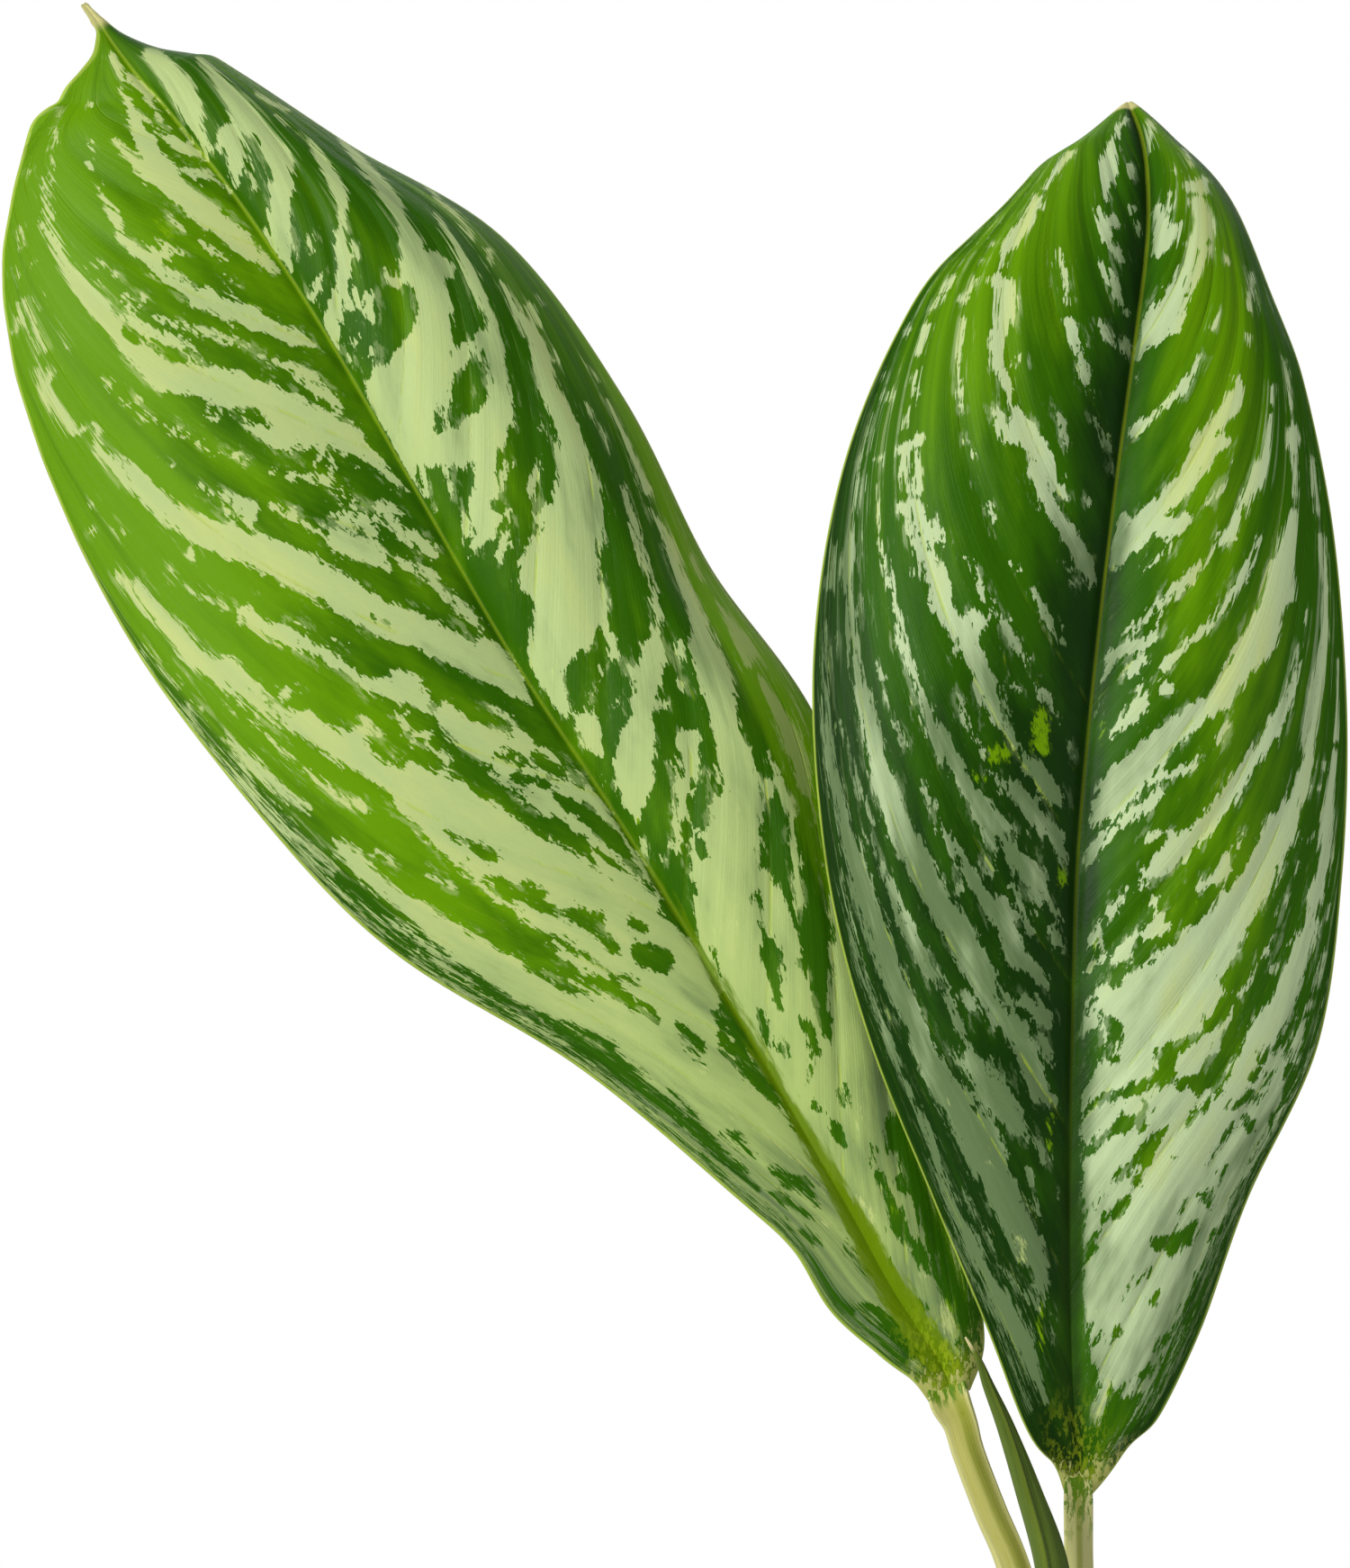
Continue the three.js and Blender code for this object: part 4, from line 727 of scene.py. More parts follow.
class Nodes:
    """Adds nodes to one tree and joins them up."""

    def __init__(self, tree):
        self.tree = tree

    def add(self, kind, settings=None, inputs=None, output=0):
        node = self.tree.nodes.new(kind)
        for name, value in (settings or {}).items():
            setattr(node, name, value)
        for name, value in (inputs or {}).items():
            socket = node.inputs[name]
            if isinstance(value, Value):
                self.tree.links.new(value.socket, socket)
            elif socket.type == "RGBA" and len(value) == 3:
                socket.default_value = (*value, 1.0)
            else:
                socket.default_value = value
        return Value(self, node.outputs[output]) if len(node.outputs) else None

    def mix(self, share, first, second):
        """The first colour where share is 0 and the second where it is 1."""
        return self.add("ShaderNodeMix", {"data_type": "RGBA"}, {0: share, 6: first, 7: second}, 2)

    def stretched(self, place, x, y, z):
        return self.add("ShaderNodeVectorMath", {"operation": "MULTIPLY"}, {0: place, 1: (x, y, z)})

    def noise(self, place, scale=1.0, detail=2.0, roughness=0.5):
        inputs = {"Vector": place, "Scale": scale, "Detail": detail, "Roughness": roughness}
        return self.add("ShaderNodeTexNoise", {}, inputs)

    def grained(self, place, wide, tall, detail, roughness):
        """Noise over a UV map, in grains that are so many millimetres wide and tall."""
        return self.noise(self.stretched(place, MAP_UNIT / wide, MAP_UNIT / tall, 1), 1, detail, roughness)

    def cells(self, place, scale=1.0):
        """A random value for each cell of an uneven mosaic."""
        colour = self.add("ShaderNodeTexVoronoi", {}, {"Vector": place, "Scale": scale}, "Color")
        return self.add("ShaderNodeSeparateColor", {}, {0: colour})

    def attribute(self, name):
        return self.add("ShaderNodeAttribute", {"attribute_name": name}, {}, "Fac")

    def place(self, kind="Object"):
        return self.add("ShaderNodeTexCoord", {}, {}, kind)

    def parts_of(self, vector):
        """The x, y and z values of a vector."""
        split = self.add("ShaderNodeSeparateXYZ", {}, {0: vector})
        return split, split.output("Y"), split.output("Z")


def new_material(name):
    made = bpy.data.materials.new(name)
    made.use_nodes = True
    made.node_tree.nodes.clear()
    return made, Nodes(made.node_tree)


def close_material(nodes, colour, roughness, height, relief, **constants):
    """Ends a material in one shader, with height as a bump of relief metres."""
    bump = nodes.add("ShaderNodeBump", {}, {"Height": height, "Distance": relief})
    inputs = {"Base Color": colour, "Roughness": roughness, "Normal": bump, **constants}
    shader = nodes.add("ShaderNodeBsdfPrincipled", {}, inputs)
    nodes.add("ShaderNodeOutputMaterial", {}, {"Surface": shader})


def along(values, share):
    """Values at even stations, read at shares of their length by a uniform Catmull-Rom spline."""
    values = np.asarray(values, float)
    last = len(values) - 1
    padded = np.concatenate([[2 * values[0] - values[1]], values, [2 * values[-1] - values[-2]]])
    span = np.minimum((share * last).astype(int), last - 1)
    f = share * last - span
    if values.ndim > 1:
        f = f[:, None]
    before, first, second, after = (padded[span + k] for k in range(4))
    a = (second - before) / 2
    b = (after - first) / 2
    return first + a * f + (3 * (second - first) - 2 * a - b) * f**2 + (2 * (first - second) + a + b) * f**3


def unit(vectors):
    return vectors / np.linalg.norm(vectors, axis=-1, keepdims=True)


def directions(path):
    """Unit tangents of a dense path."""
    return unit(np.gradient(path, axis=0))


def blended(pair, share):
    return pair[0] + (pair[1] - pair[0]) * share


def mesh_object(name, points, faces, materials):
    """A smooth mesh object at the origin, from points in millimetres."""
    mesh = bpy.data.meshes.new(name)
    mesh.from_pydata((np.asarray(points) * MM).tolist(), [], faces)
    for material in materials:
        mesh.materials.append(material)
    mesh.polygons.foreach_set("use_smooth", [True] * len(mesh.polygons))
    mesh.update()
    made = bpy.data.objects.new(name, mesh)
    bpy.context.scene.collection.objects.link(made)
    return made


def set_attribute(made, name, values):
    made.data.attributes.new(name, "FLOAT", "POINT").data.foreach_set("value", np.asarray(values, np.float32))


def set_map(made, name, across, up):
    """A UV map with one place for each point."""
    corners = np.zeros(len(made.data.loops), np.int32)
    made.data.loops.foreach_get("vertex_index", corners)
    places = np.stack([across[corners], up[corners]], -1).astype(np.float32)
    made.data.uv_layers.new(name=name).data.foreach_set("uv", places.ravel())


def settle(made, slot, *nodes):
    """The finished piece rides on the plant's body and stands for its CAD nodes."""
    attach(made, BODY)
    if nodes:
        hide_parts(*nodes)
    return made


def ring_faces(rings, sides, flipped=False):
    """The four-sided faces between rings of points, turned over where they are flipped."""
    low = np.arange(rings - 1)[:, None] * sides
    here = np.arange(sides)[None]
    ahead = (here + 1) % sides
    corners = [low + here, low + ahead, low + sides + ahead, low + sides + here]
    if flipped:
        corners = corners[:1] + corners[:0:-1]
    return np.stack(corners, -1).reshape(-1, 4).tolist()


def strip_mesh(front, back):
    """Points and faces of a closed strip with a rounded edge, from rows of points on its two faces."""
    rows, across = front.shape[:2]
    edges = []
    for side, inner in ((-1, -2), (0, 1)):
        middle = (front[:, side] + back[:, side]) / 2
        outward = unit(front[:, side] - front[:, inner])
        thickness = np.linalg.norm(front[:, side] - back[:, side], axis=-1, keepdims=True)
        edges.append(middle + outward * thickness * 0.35)
    rings = np.concatenate([front, edges[0][:, None], back[:, ::-1], edges[1][:, None]], axis=1)
    ring = 2 * across + 2
    faces = ring_faces(rows, ring)
    top = (rows - 1) * ring
    for j in range(across - 1):
        behind = 2 * across - j
        faces.append([j, behind, behind - 1, j + 1])
        faces.append([top + j, top + j + 1, top + behind - 1, top + behind])
    faces.append([across - 1, across + 1, across])
    faces.append([0, ring - 1, ring - 2])
    faces.append([top + across - 1, top + across, top + across + 1])
    faces.append([top, top + ring - 2, top + ring - 1])
    return rings.reshape(-1, 3), faces


def on_strip(front, back=None):
    """Values on a strip's points, from the values on its front, which its back and edges share."""
    back = front if back is None else back
    return np.concatenate([front, front[:, -1:], back[:, ::-1], front[:, :1]], axis=1).ravel()


def vein_label(distance, share):
    """Where on the midrib, in millimetres from the blade's base, the side vein through a point starts."""
    grid = np.linspace(-500, 500, 10001)
    sweep = np.clip(blended(VEIN_SWEEP, grid / VEIN_SWEEP_LENGTH), *VEIN_SWEEP)
    turns = np.concatenate([[0], np.cumsum((1 / sweep[1:] + 1 / sweep[:-1]) / 2 * np.diff(grid))])
    here = np.interp(distance, grid, turns) + np.log(1 - VEIN_REACH * share)
    return np.interp(here, turns, grid)


def streak_field(distance, across, streaks, ground=GREEN_GROUND):
    """How deep in silver a point lies, in millimetres, or in green where it is negative."""
    field = np.broadcast_to(ground, distance.shape)
    for streak in streaks:
        points = np.reshape(streak, (-1, 3)) * STREAK_UNIT
        for (a, a_across, a_half), (b, b_across, b_half) in zip(points, points[1:]):
            dx, dy = b - a, b_across - a_across
            x, y = distance - a, across - a_across
            t = np.clip((x * dx + y * dy) / max(dx * dx + dy * dy, 0.01), 0, 1)
            depth = np.abs(blended((a_half, b_half), t)) - np.hypot(x - t * dx, y - t * dy)
            field = np.minimum(field, -depth) if a_half < 0 else np.maximum(field, depth)
    return np.clip(field, -DEEPEST_FIELD, DEEPEST_FIELD)


def soft_step(value, low, high):
    t = np.clip((value - low) / (high - low), 0, 1)
    return t * t * (3 - 2 * t)


def half_sections(columns, rise, fall):
    """Distances across, heights and slopes of half sections, one row for each pair of rise and fall."""
    fine = np.linspace(0, 1, SECTION_STEPS + 1)
    slope = np.radians(fall[:, None] * fine + rise[:, None] * (1 - fine) ** 2)

    def summed(values):
        steps = (values[:, 1:] + values[:, :-1]) / 2 / SECTION_STEPS
        return np.concatenate([np.zeros((len(rise), 1)), np.cumsum(steps, axis=1)], axis=1)

    at = columns * SECTION_STEPS
    low = np.minimum(at.astype(int), SECTION_STEPS - 1)
    part = at - low
    grids = (summed(np.cos(slope)), summed(np.sin(slope)), slope)
    return [grid[:, low] * (1 - part) + grid[:, low + 1] * part for grid in grids]


def arc_lengths(path):
    """The distance travelled along a path, at each of its points."""
    return np.concatenate([[0], np.cumsum(np.linalg.norm(np.diff(path, axis=0), axis=1))])


def midrib_frame(stations):
    """The midrib's points, and at each the directions along the blade, across it and up from its face."""
    share = np.linspace(0, 1, BLADE_ROWS)
    middle = along([s[0] for s in stations], share)
    tangent = directions(middle)
    for _ in range(FRAME_SMOOTHING):
        tangent[1:-1] = unit(tangent[:-2] + 2 * tangent[1:-1] + tangent[2:])
    side = unit(np.cross(tangent, blended(np.array(FACING, float), share[:, None])))
    return middle, tangent, side, np.cross(side, tangent)


def shouldered(shoulder, travelled, full_width, spread):
    """The width that a blade's shoulder keeps, and how far it carries each point forward."""
    reached, kept, carried = np.array(shoulder, float).T
    nearby = np.exp(-(((travelled[:, None] - travelled[None]) / SHOULDER_SOFTNESS) ** 2))
    nearby = nearby / nearby.sum(axis=1, keepdims=True)
    width = full_width * (nearby @ np.interp(travelled, reached, kept))
    return width, (nearby @ np.interp(travelled, reached, carried))[:, None] * spread**2


def fold_ridge(plan, hand, spread, far):
    """The height of the fold that stands in a blade's right half."""
    if hand == "left":
        return 0
    height, place, width = plan["fold"]
    return height * np.exp(-(((spread[None] - place) / width) ** 2)) * np.sin(np.pi * far[:, None]) ** 2


def vein_relief(start, order, width, spread):
    """The side vein each point lies by, how far the vein sinks there, and the relief of the whole face."""
    phase = np.interp(start, order, np.arange(len(order)))
    from_vein = np.abs(phase - np.round(phase)) * np.interp(start, order[1:], np.diff(order))
    inside = soft_step(start, -30, 0) * soft_step(width, 9, 24)[:, None]
    fade = np.sin(np.pi * np.clip(spread, 0, 1)[None] ** 0.6) * inside
    sunken = np.exp(-((from_vein / 1.5) ** 2)) * fade
    fine = np.cos(2 * np.pi * start / 4.7 + 1.4 * np.sin(start * 0.31)) * fade
    quilt = np.cos(2 * np.pi * phase) * fade
    return phase, sunken, sunken + 0.5 * quilt - 0.22 * fine


def half_blade(plan, frame, hand, spread, laws, depth):
    """Points on the two faces of half a blade, and the values its colours follow, from left to right."""
    middle, tangent, side, normal = frame
    streaks, flecks, tone, mottle = laws
    sign, column = HALVES[hand]
    travelled = arc_lengths(middle)
    far = travelled / travelled[-1]
    full_width = along([s[column] for s in plan["stations"]], np.linspace(0, 1, BLADE_ROWS))
    width, lean = full_width, np.zeros((BLADE_ROWS, len(spread)))
    if hand == "left":
        width, lean = shouldered(plan["shoulder"], travelled, full_width, spread)
    rise = blended(plan["rise"][hand], far)
    fall = blended(plan["fall"][hand], far)
    across, height, slope = half_sections(spread, rise, fall)
    wave = plan["wave"]
    swing = np.sin(2 * np.pi * (wave["count"] * far + wave[hand]))
    ripple = wave["height"] * np.sin(np.pi * far) ** 0.7 * swing
    x = across * width[:, None]
    distance = travelled[:, None] + lean
    full_reach = np.interp(distance, travelled, full_width)
    outward = np.clip(spread * width[:, None] / full_reach, 0, 1)
    start = vein_label(distance, outward)
    phase, sunken, relief = vein_relief(start, np.array(plan["veins"], float), width, spread)

    sunk = np.exp(-travelled / 2.5)[:, None]
    lift = fold_ridge(plan, hand, spread, far) - depth * relief
    lift = lift + height * width[:, None] + ripple[:, None] * spread**2 - 1.2 * sunk
    upper = middle[:, None] + sign * x[..., None] * side[:, None] + lean[..., None] * tangent[:, None]
    upper = upper + lift[..., None] * normal[:, None]
    keel_half = blended(KEEL_HALF_WIDTH, far[:, None])
    keel = blended(KEEL_HEIGHT, far[:, None]) * np.exp(-((x / keel_half * 1.25) ** 2))
    under = (blended(BLADE_THICKNESS, spread[None]) + keel) * (1 - 0.4 * sunk) + 0.6 * depth * sunken
    slope = np.where(spread[None] == 0, 0, slope)
    down = -np.cos(slope)[..., None] * normal[:, None] + sign * np.sin(slope)[..., None] * side[:, None]
    lower = upper + under[..., None] * down
    groove = 0.3 * np.exp(-((x / 0.75) ** 2)) * soft_step(distance, 15, 90)
    upper = upper + groove[..., None] * down

    measured = outward * full_reach
    ground = blended((GREEN_GROUND, MOTTLED_GROUND), mottle(start, outward))
    values = {
        "silver": streak_field(distance, measured, streaks, ground),
        "fleck": streak_field(distance, measured, flecks),
        "tone": tone(start, outward),
        "rib": blended(plan["band"], far[:, None]) + 1.3 * np.exp(-((distance / 34) ** 2)) - x,
        "margin": (1 - spread[None]) * width[:, None],
        "along": distance,
        "vein": phase,
        "start": start,
        "across": sign * measured,
    }
    left_to_right = slice(None, None, -1) if hand == "left" else slice(1, None)
    values = {key: value[:, left_to_right] for key, value in values.items()}
    return upper[:, left_to_right], lower[:, left_to_right], values


def blade_object(name, plan, laws, depth, materials):
    """A leaf blade of two halves, with side veins sunk to a depth in millimetres."""
    frame = midrib_frame(plan["stations"])
    spread = np.linspace(0, 1, BLADE_COLUMNS + 1)
    spread = spread * (0.7 + 0.3 * spread)
    halves = [half_blade(plan, frame, hand, spread, laws[hand], depth) for hand in HALVES]
    front, back = (np.concatenate([half[k] for half in halves], axis=1) for k in range(2))
    points, faces = strip_mesh(front, back)
    made = mesh_object(name, points, faces, materials)
    values = {key: np.concatenate([half[2][key] for half in halves], axis=1) for key in halves[0][2]}
    start, across = values.pop("start"), values.pop("across")
    for key, value in values.items():
        set_attribute(made, key, on_strip(value))
    set_map(made, "veins", on_strip(start) / MAP_UNIT, on_strip(across) / MAP_UNIT)
    columns = front.shape[1]
    ring = 2 * columns + 2
    position = np.arange((BLADE_ROWS - 1) * ring) % ring
    lower_faces = np.zeros(len(faces), np.int32)
    lower_faces[: len(position)] = (position > columns) & (position < ring - 2)
    made.data.polygons.foreach_set("material_index", lower_faces)
    return made


def leaf_pattern(nodes, looks):
    """The silver mask with ragged edges, and the leaf coordinates that it follows."""
    place = nodes.place("UV")
    jag = looks.jag
    edge = nodes.attribute("silver")
    for wide, tall, detail, share in ((4.6, 3.0, 2, 0.7), (2.1, 1.3, 3, 1.5), (0.9, 0.5, 2, 1.1)):
        rough = nodes.grained(place, wide, tall, detail, 0.65)
        edge = edge + (rough - 0.5) * (share * jag)
    tiles = nodes.cells(nodes.stretched(place, MAP_UNIT / 2.0, MAP_UNIT / 1.3, 1))
    edge = edge + (tiles - 0.5) * (0.5 * jag)
    return place, edge


def blotches(nodes):
    """Uneven blotches that run on from a blade's base into its stalk."""
    return nodes.noise(nodes.stretched(nodes.place("Object"), 1500, 1500, 650), 1, 4, 0.7)


def leaf_upper_material(looks):
    """The variegated upper face."""
    made, nodes = new_material("leaf upper face")
    place, edge = leaf_pattern(nodes, looks)
    silver = edge.over(-0.06, 0.06)
    tone = nodes.attribute("tone")
    olive = nodes.attribute("olive")
    fibres = nodes.grained(place, 0.5, 30.0, 3, 0.6)
    clouds = nodes.grained(place, 12.0, 8.0, 3, 0.55)
    # The tone carries painted shade and painted light as well as the green's own tone.
    shade = tone + (fibres - 0.5) * 0.12 + (clouds - 0.5) * 0.8
    green = nodes.mix(shade.over(0.0, 0.5), looks.deep, looks.green)
    green = nodes.mix(shade.over(0.5, 1.0), green, looks.bright)
    # Past 1.1, which the painted light on the left blade's fold and tip reaches, the green turns to the glow
    # colour: painted light.
    green = nodes.mix(shade.over(1.1, 1.8), green, looks.glow)
    distance = nodes.attribute("along")
    # The silver streaks take the same painted shade, towards grey-green, capped so that painted light doesn't
    # whiten them.
    paleness = tone.combined("MINIMUM", tone, 0.85) - (1 - distance.over(0.0, 80.0)) * 0.25
    paleness = paleness + (fibres - 0.5) * 0.25 + (clouds - 0.5) * 1.3
    silvers = nodes.mix(olive.over(0.3, 1.0), looks.frost, looks.silver)
    silvers = nodes.mix(olive.over(0.3, 1.0) * (1 - distance.over(30.0, 130.0)) * 0.8, silvers, looks.sage)
    # Where the tone's painted light runs high, the silver is painted sage and kept from cream, as silver in
    # shade lit through the leaf: painted light.
    silvers = nodes.mix(tone.over(0.95, 1.2), silvers, looks.sage)
    pale = nodes.mix(paleness.over(0.0, 0.6), looks.grey_green, silvers)
    pale = nodes.mix(paleness.over(0.5, 1.15) * (1 - tone.over(0.95, 1.2)), pale, looks.cream)
    colour = nodes.mix(silver, green, pale)
    half_tone = nodes.grained(place, 4.5, 3.0, 4, 0.65)
    veil = (edge.over(-1.3, -0.4) - silver) * half_tone.over(0.54, 0.6)
    colour = nodes.mix(veil * 0.35, colour, pale)
    order = nodes.attribute("vein")
    from_vein = abs(order - (order + 0.5).floor())
    vein_line = (1 - from_vein.over(0.008, 0.04)) * half_tone.over(0.42, 0.6)
    flecks = nodes.grained(place, 4.4, 3.0, 2, 0.55).over(0.70, 0.80)
    yellow = vein_line * (0.14 + 0.3 * silver) + flecks * 0.3
    colour = nodes.mix(yellow.over(0.0, 1.0), colour, looks.fleck)
    grain = nodes.grained(place, 1.5, 1.1, 4, 0.7)
    glow = (nodes.attribute("fleck") * 0.9 + (grain - 0.5) * 5.5).over(0.1, 1.0)
    glow_colour = nodes.mix(silver, looks.glow, looks.cream)
    colour = nodes.mix(glow * 0.75, colour, glow_colour)
    rib_grain = nodes.grained(place, 6, 0.9, 3, 0.6)
    rib = nodes.attribute("rib") + (rib_grain - 0.5) * 3.4
    near_base = 1 - distance.over(20.0, 150.0)
    base_colour = nodes.mix(olive.over(0.2, 1.0) * (0.5 + 0.5 * fibres), green, looks.olive)
    rib_colour = nodes.mix(near_base, green, base_colour)
    colour = nodes.mix(rib.over(-0.3, 0.5) * (0.75 + 0.2 * near_base), colour, rib_colour)
    _, across, _ = nodes.parts_of(place)
    middle_line = 1 - abs(across).over(0.0006, 0.003)
    colour = nodes.mix(middle_line * (1 - near_base) * 0.3, colour, looks.fleck)
    blotch = blotches(nodes)
    at_base = (1 - distance.over(4.0, 16.0)) * (1 - abs(across).over(0.015, 0.06))
    colour = nodes.mix(at_base * blotch.over(0.48, 0.56) * 0.42, colour, looks.fleck)
    at_margin = nodes.attribute("margin") + (fibres - 0.5) * 0.5
    colour = nodes.mix((1 - at_margin.over(0.12, 0.42)) * 0.85, colour, looks.margin)
    base = distance + 2.5 - abs(across) * 60 + (blotch - 0.5) * 22
    colour = nodes.mix((1 - base.over(3.2, 4.6)) * (1 - distance.over(3.0, 8.0)), colour, looks.base)
    dried = nodes.mix(fibres, looks.tan, looks.cream)
    colour = nodes.mix(nodes.attribute("dry").over(0.0, 1.0), colour, dried)
    pores = nodes.noise(nodes.place("Object"), 1400, 2, 0.6)
    roughness = 0.40 + (clouds - 0.5) * 0.12 + (pores - 0.5) * 0.1
    height = fibres * 0.55 + pores * 0.25 - vein_line * 0.5
    close_material(nodes, colour, roughness, height, 0.00012, **{"Specular IOR Level": 0.07})
    return made


def leaf_under_material(looks):
    """The duller lower face, where the streaks only show through."""
    made, nodes = new_material("leaf lower face")
    place, edge = leaf_pattern(nodes, looks)
    fibres = nodes.grained(place, 0.6, 30.0, 3, 0.6)
    clouds = nodes.grained(place, 9.0, 16.0, 2, 0.5)
    green = nodes.mix((fibres + clouds - 0.5).over(0.2, 0.8), looks.green, looks.under)
    pale = nodes.mix(clouds, looks.silver, looks.cream)
    colour = nodes.mix(0.45 + 0.3 * nodes.attribute("tone"), green, looks.under)
    colour = nodes.mix(edge.over(-0.8, 0.8) * 0.7, colour, pale)
    order = nodes.attribute("vein")
    from_vein = abs(order - (order + 0.5).floor())
    vein_line = 1 - from_vein.over(0.01, 0.06)
    rib = nodes.attribute("rib").over(-0.2, 0.8)
    colour = nodes.mix(vein_line * 0.35 + rib * 0.5, colour, looks.cream)
    colour = nodes.mix(nodes.attribute("dry").over(0.0, 1.0), colour, looks.tan)
    pores = nodes.noise(nodes.place("Object"), 1400, 2, 0.6)
    roughness = 0.5 + (clouds - 0.5) * 0.1 + (pores - 0.5) * 0.1
    height = fibres * 0.6 + pores * 0.3 + vein_line * 0.6
    close_material(nodes, colour, roughness, height, 0.00015)
    return made


def left_half_tone_and_painted_light(start, share):
    """Brightness of the left blade's left half, partly its own green and partly painted light: dull at the
    base, brightest along the margin and towards the tip, which are painted as if lit.
    """
    outer = soft_step(share, 0.2, 0.8) * soft_step(start, 10, 60)
    return 0.4 + 0.36 * outer + 0.22 * soft_step(start, -10, 80) + 0.2 * soft_step(start, 140, 200)


def left_fold_tone_and_painted_light(start, share):
    """The left blade's right half, partly its own green and partly painted light: brightest on the fold that
    stands along its margin, where light is painted on as if it came through the leaf.
    """
    low = 0.45 + 0.15 * soft_step(start, -30, 40)
    # Painted light on the fold, which faces away from the key light.
    painted_fold_light = 0.7 * soft_step(share, 0.6, 0.8) * soft_step(start, -40, -5) * soft_step(start, 65, 35)
    return low + painted_fold_light - 0.14 * soft_step(share, 0.35, 0.6) + 0.2 * soft_step(share, 0.65, 0.85)


def right_left_half_tone_and_painted_shading(start, share):
    """The right blade's left half, partly its own green and partly painted shade and light: painted dark low
    down, where shade falls, and bright over its upper outer part, where light falls.
    """
    low = 0.2 * soft_step(start, 10, 60) * soft_step(share, 0.2, 0.8)
    return 0.05 + low + 0.55 * soft_step(start + 60 * share, 85, 150) * soft_step(share, 0.02, 0.35)


def right_far_tone(start, share):
    """The right blade's right half is brightest half way out, and dull at the base."""
    across = 0.12 + 0.36 * soft_step(share, 0.03, 0.14) + 0.22 * soft_step(np.abs(share - 0.5), 0.42, 0.1)
    return across - 0.25 + 0.25 * soft_step(start, -50, 30) + 0.14 * soft_step(start, 90, 150)


def left_margin_mottle(start, share):
    """Where fine streaks mottle the left blade along the lower part of its left margin."""
    return soft_step(share, 0.74, 0.84) * soft_step(start, -70, -45) * soft_step(start, 55, 25)


def left_fold_mottle(start, share):
    """Where fine streaks mottle the left blade's fold, low down and along the margin above."""
    low = 0.85 * soft_step(share, 0.6, 0.75) * soft_step(start, -60, -30) * soft_step(start, 60, 30)
    return np.maximum(low, 0.7 * soft_step(share, 0.76, 0.9) * soft_step(start, 50, 75))


def right_base_mottle(start, share):
    """Where fine streaks mottle the right blade's right half, at the base and along the margin."""
    base = 0.9 * soft_step(start, 0, -20) * soft_step(share, 0.2, 0.4)
    return np.maximum(base, 0.62 * soft_step(share, 0.84, 0.95))


def right_margin_mottle(start, share):
    """Where fine streaks mottle the right blade along its left margin."""
    return 0.68 * soft_step(share, 0.68, 0.85) * soft_step(start, -30, 10)


BLADES = {
    "left": (
        LEFT_BLADE,
        {
            "left": (LEFT_BLADE_LEFT, LEFT_FLECKS_LEFT, left_half_tone_and_painted_light, left_margin_mottle),
            "right": (LEFT_BLADE_RIGHT, LEFT_FLECKS_RIGHT, left_fold_tone_and_painted_light, left_fold_mottle),
        },
    ),
    "right": (
        RIGHT_BLADE,
        {
            "left": (RIGHT_BLADE_LEFT, RIGHT_FLECKS_LEFT, right_left_half_tone_and_painted_shading, right_margin_mottle),
            "right": (RIGHT_BLADE_RIGHT, RIGHT_FLECKS_RIGHT, right_far_tone, right_base_mottle),
        },
    ),
}
DRY_TIP = {"left": 6.5, "right": 2.2}


class EVERGREEN_OT_blades(bpy.types.Operator):
    """Builds the two variegated leaf blades"""

    bl_idname = "evergreen.blades"
    bl_label = "Leaf blades"

    def execute(self, context):
        looks = context.scene.evergreen_leaf
        materials = [leaf_upper_material(looks), leaf_under_material(looks)]
        for hand, (plan, laws) in BLADES.items():
            made = blade_object(f"leaf_blade_{hand}", plan, laws, looks.relief / MM, materials)
            distance = np.zeros(len(made.data.vertices), np.float32)
            made.data.attributes["along"].data.foreach_get("value", distance)
            to_tip = distance.max() - distance
            set_attribute(made, "dry", 1 - soft_step(to_tip, DRY_TIP[hand] * 0.5, DRY_TIP[hand]))
            set_attribute(made, "olive", np.full(len(distance), 1.0 if hand == "left" else 0.3))
            settle(made, "blade", f"blade_{hand}")
        return {"FINISHED"}


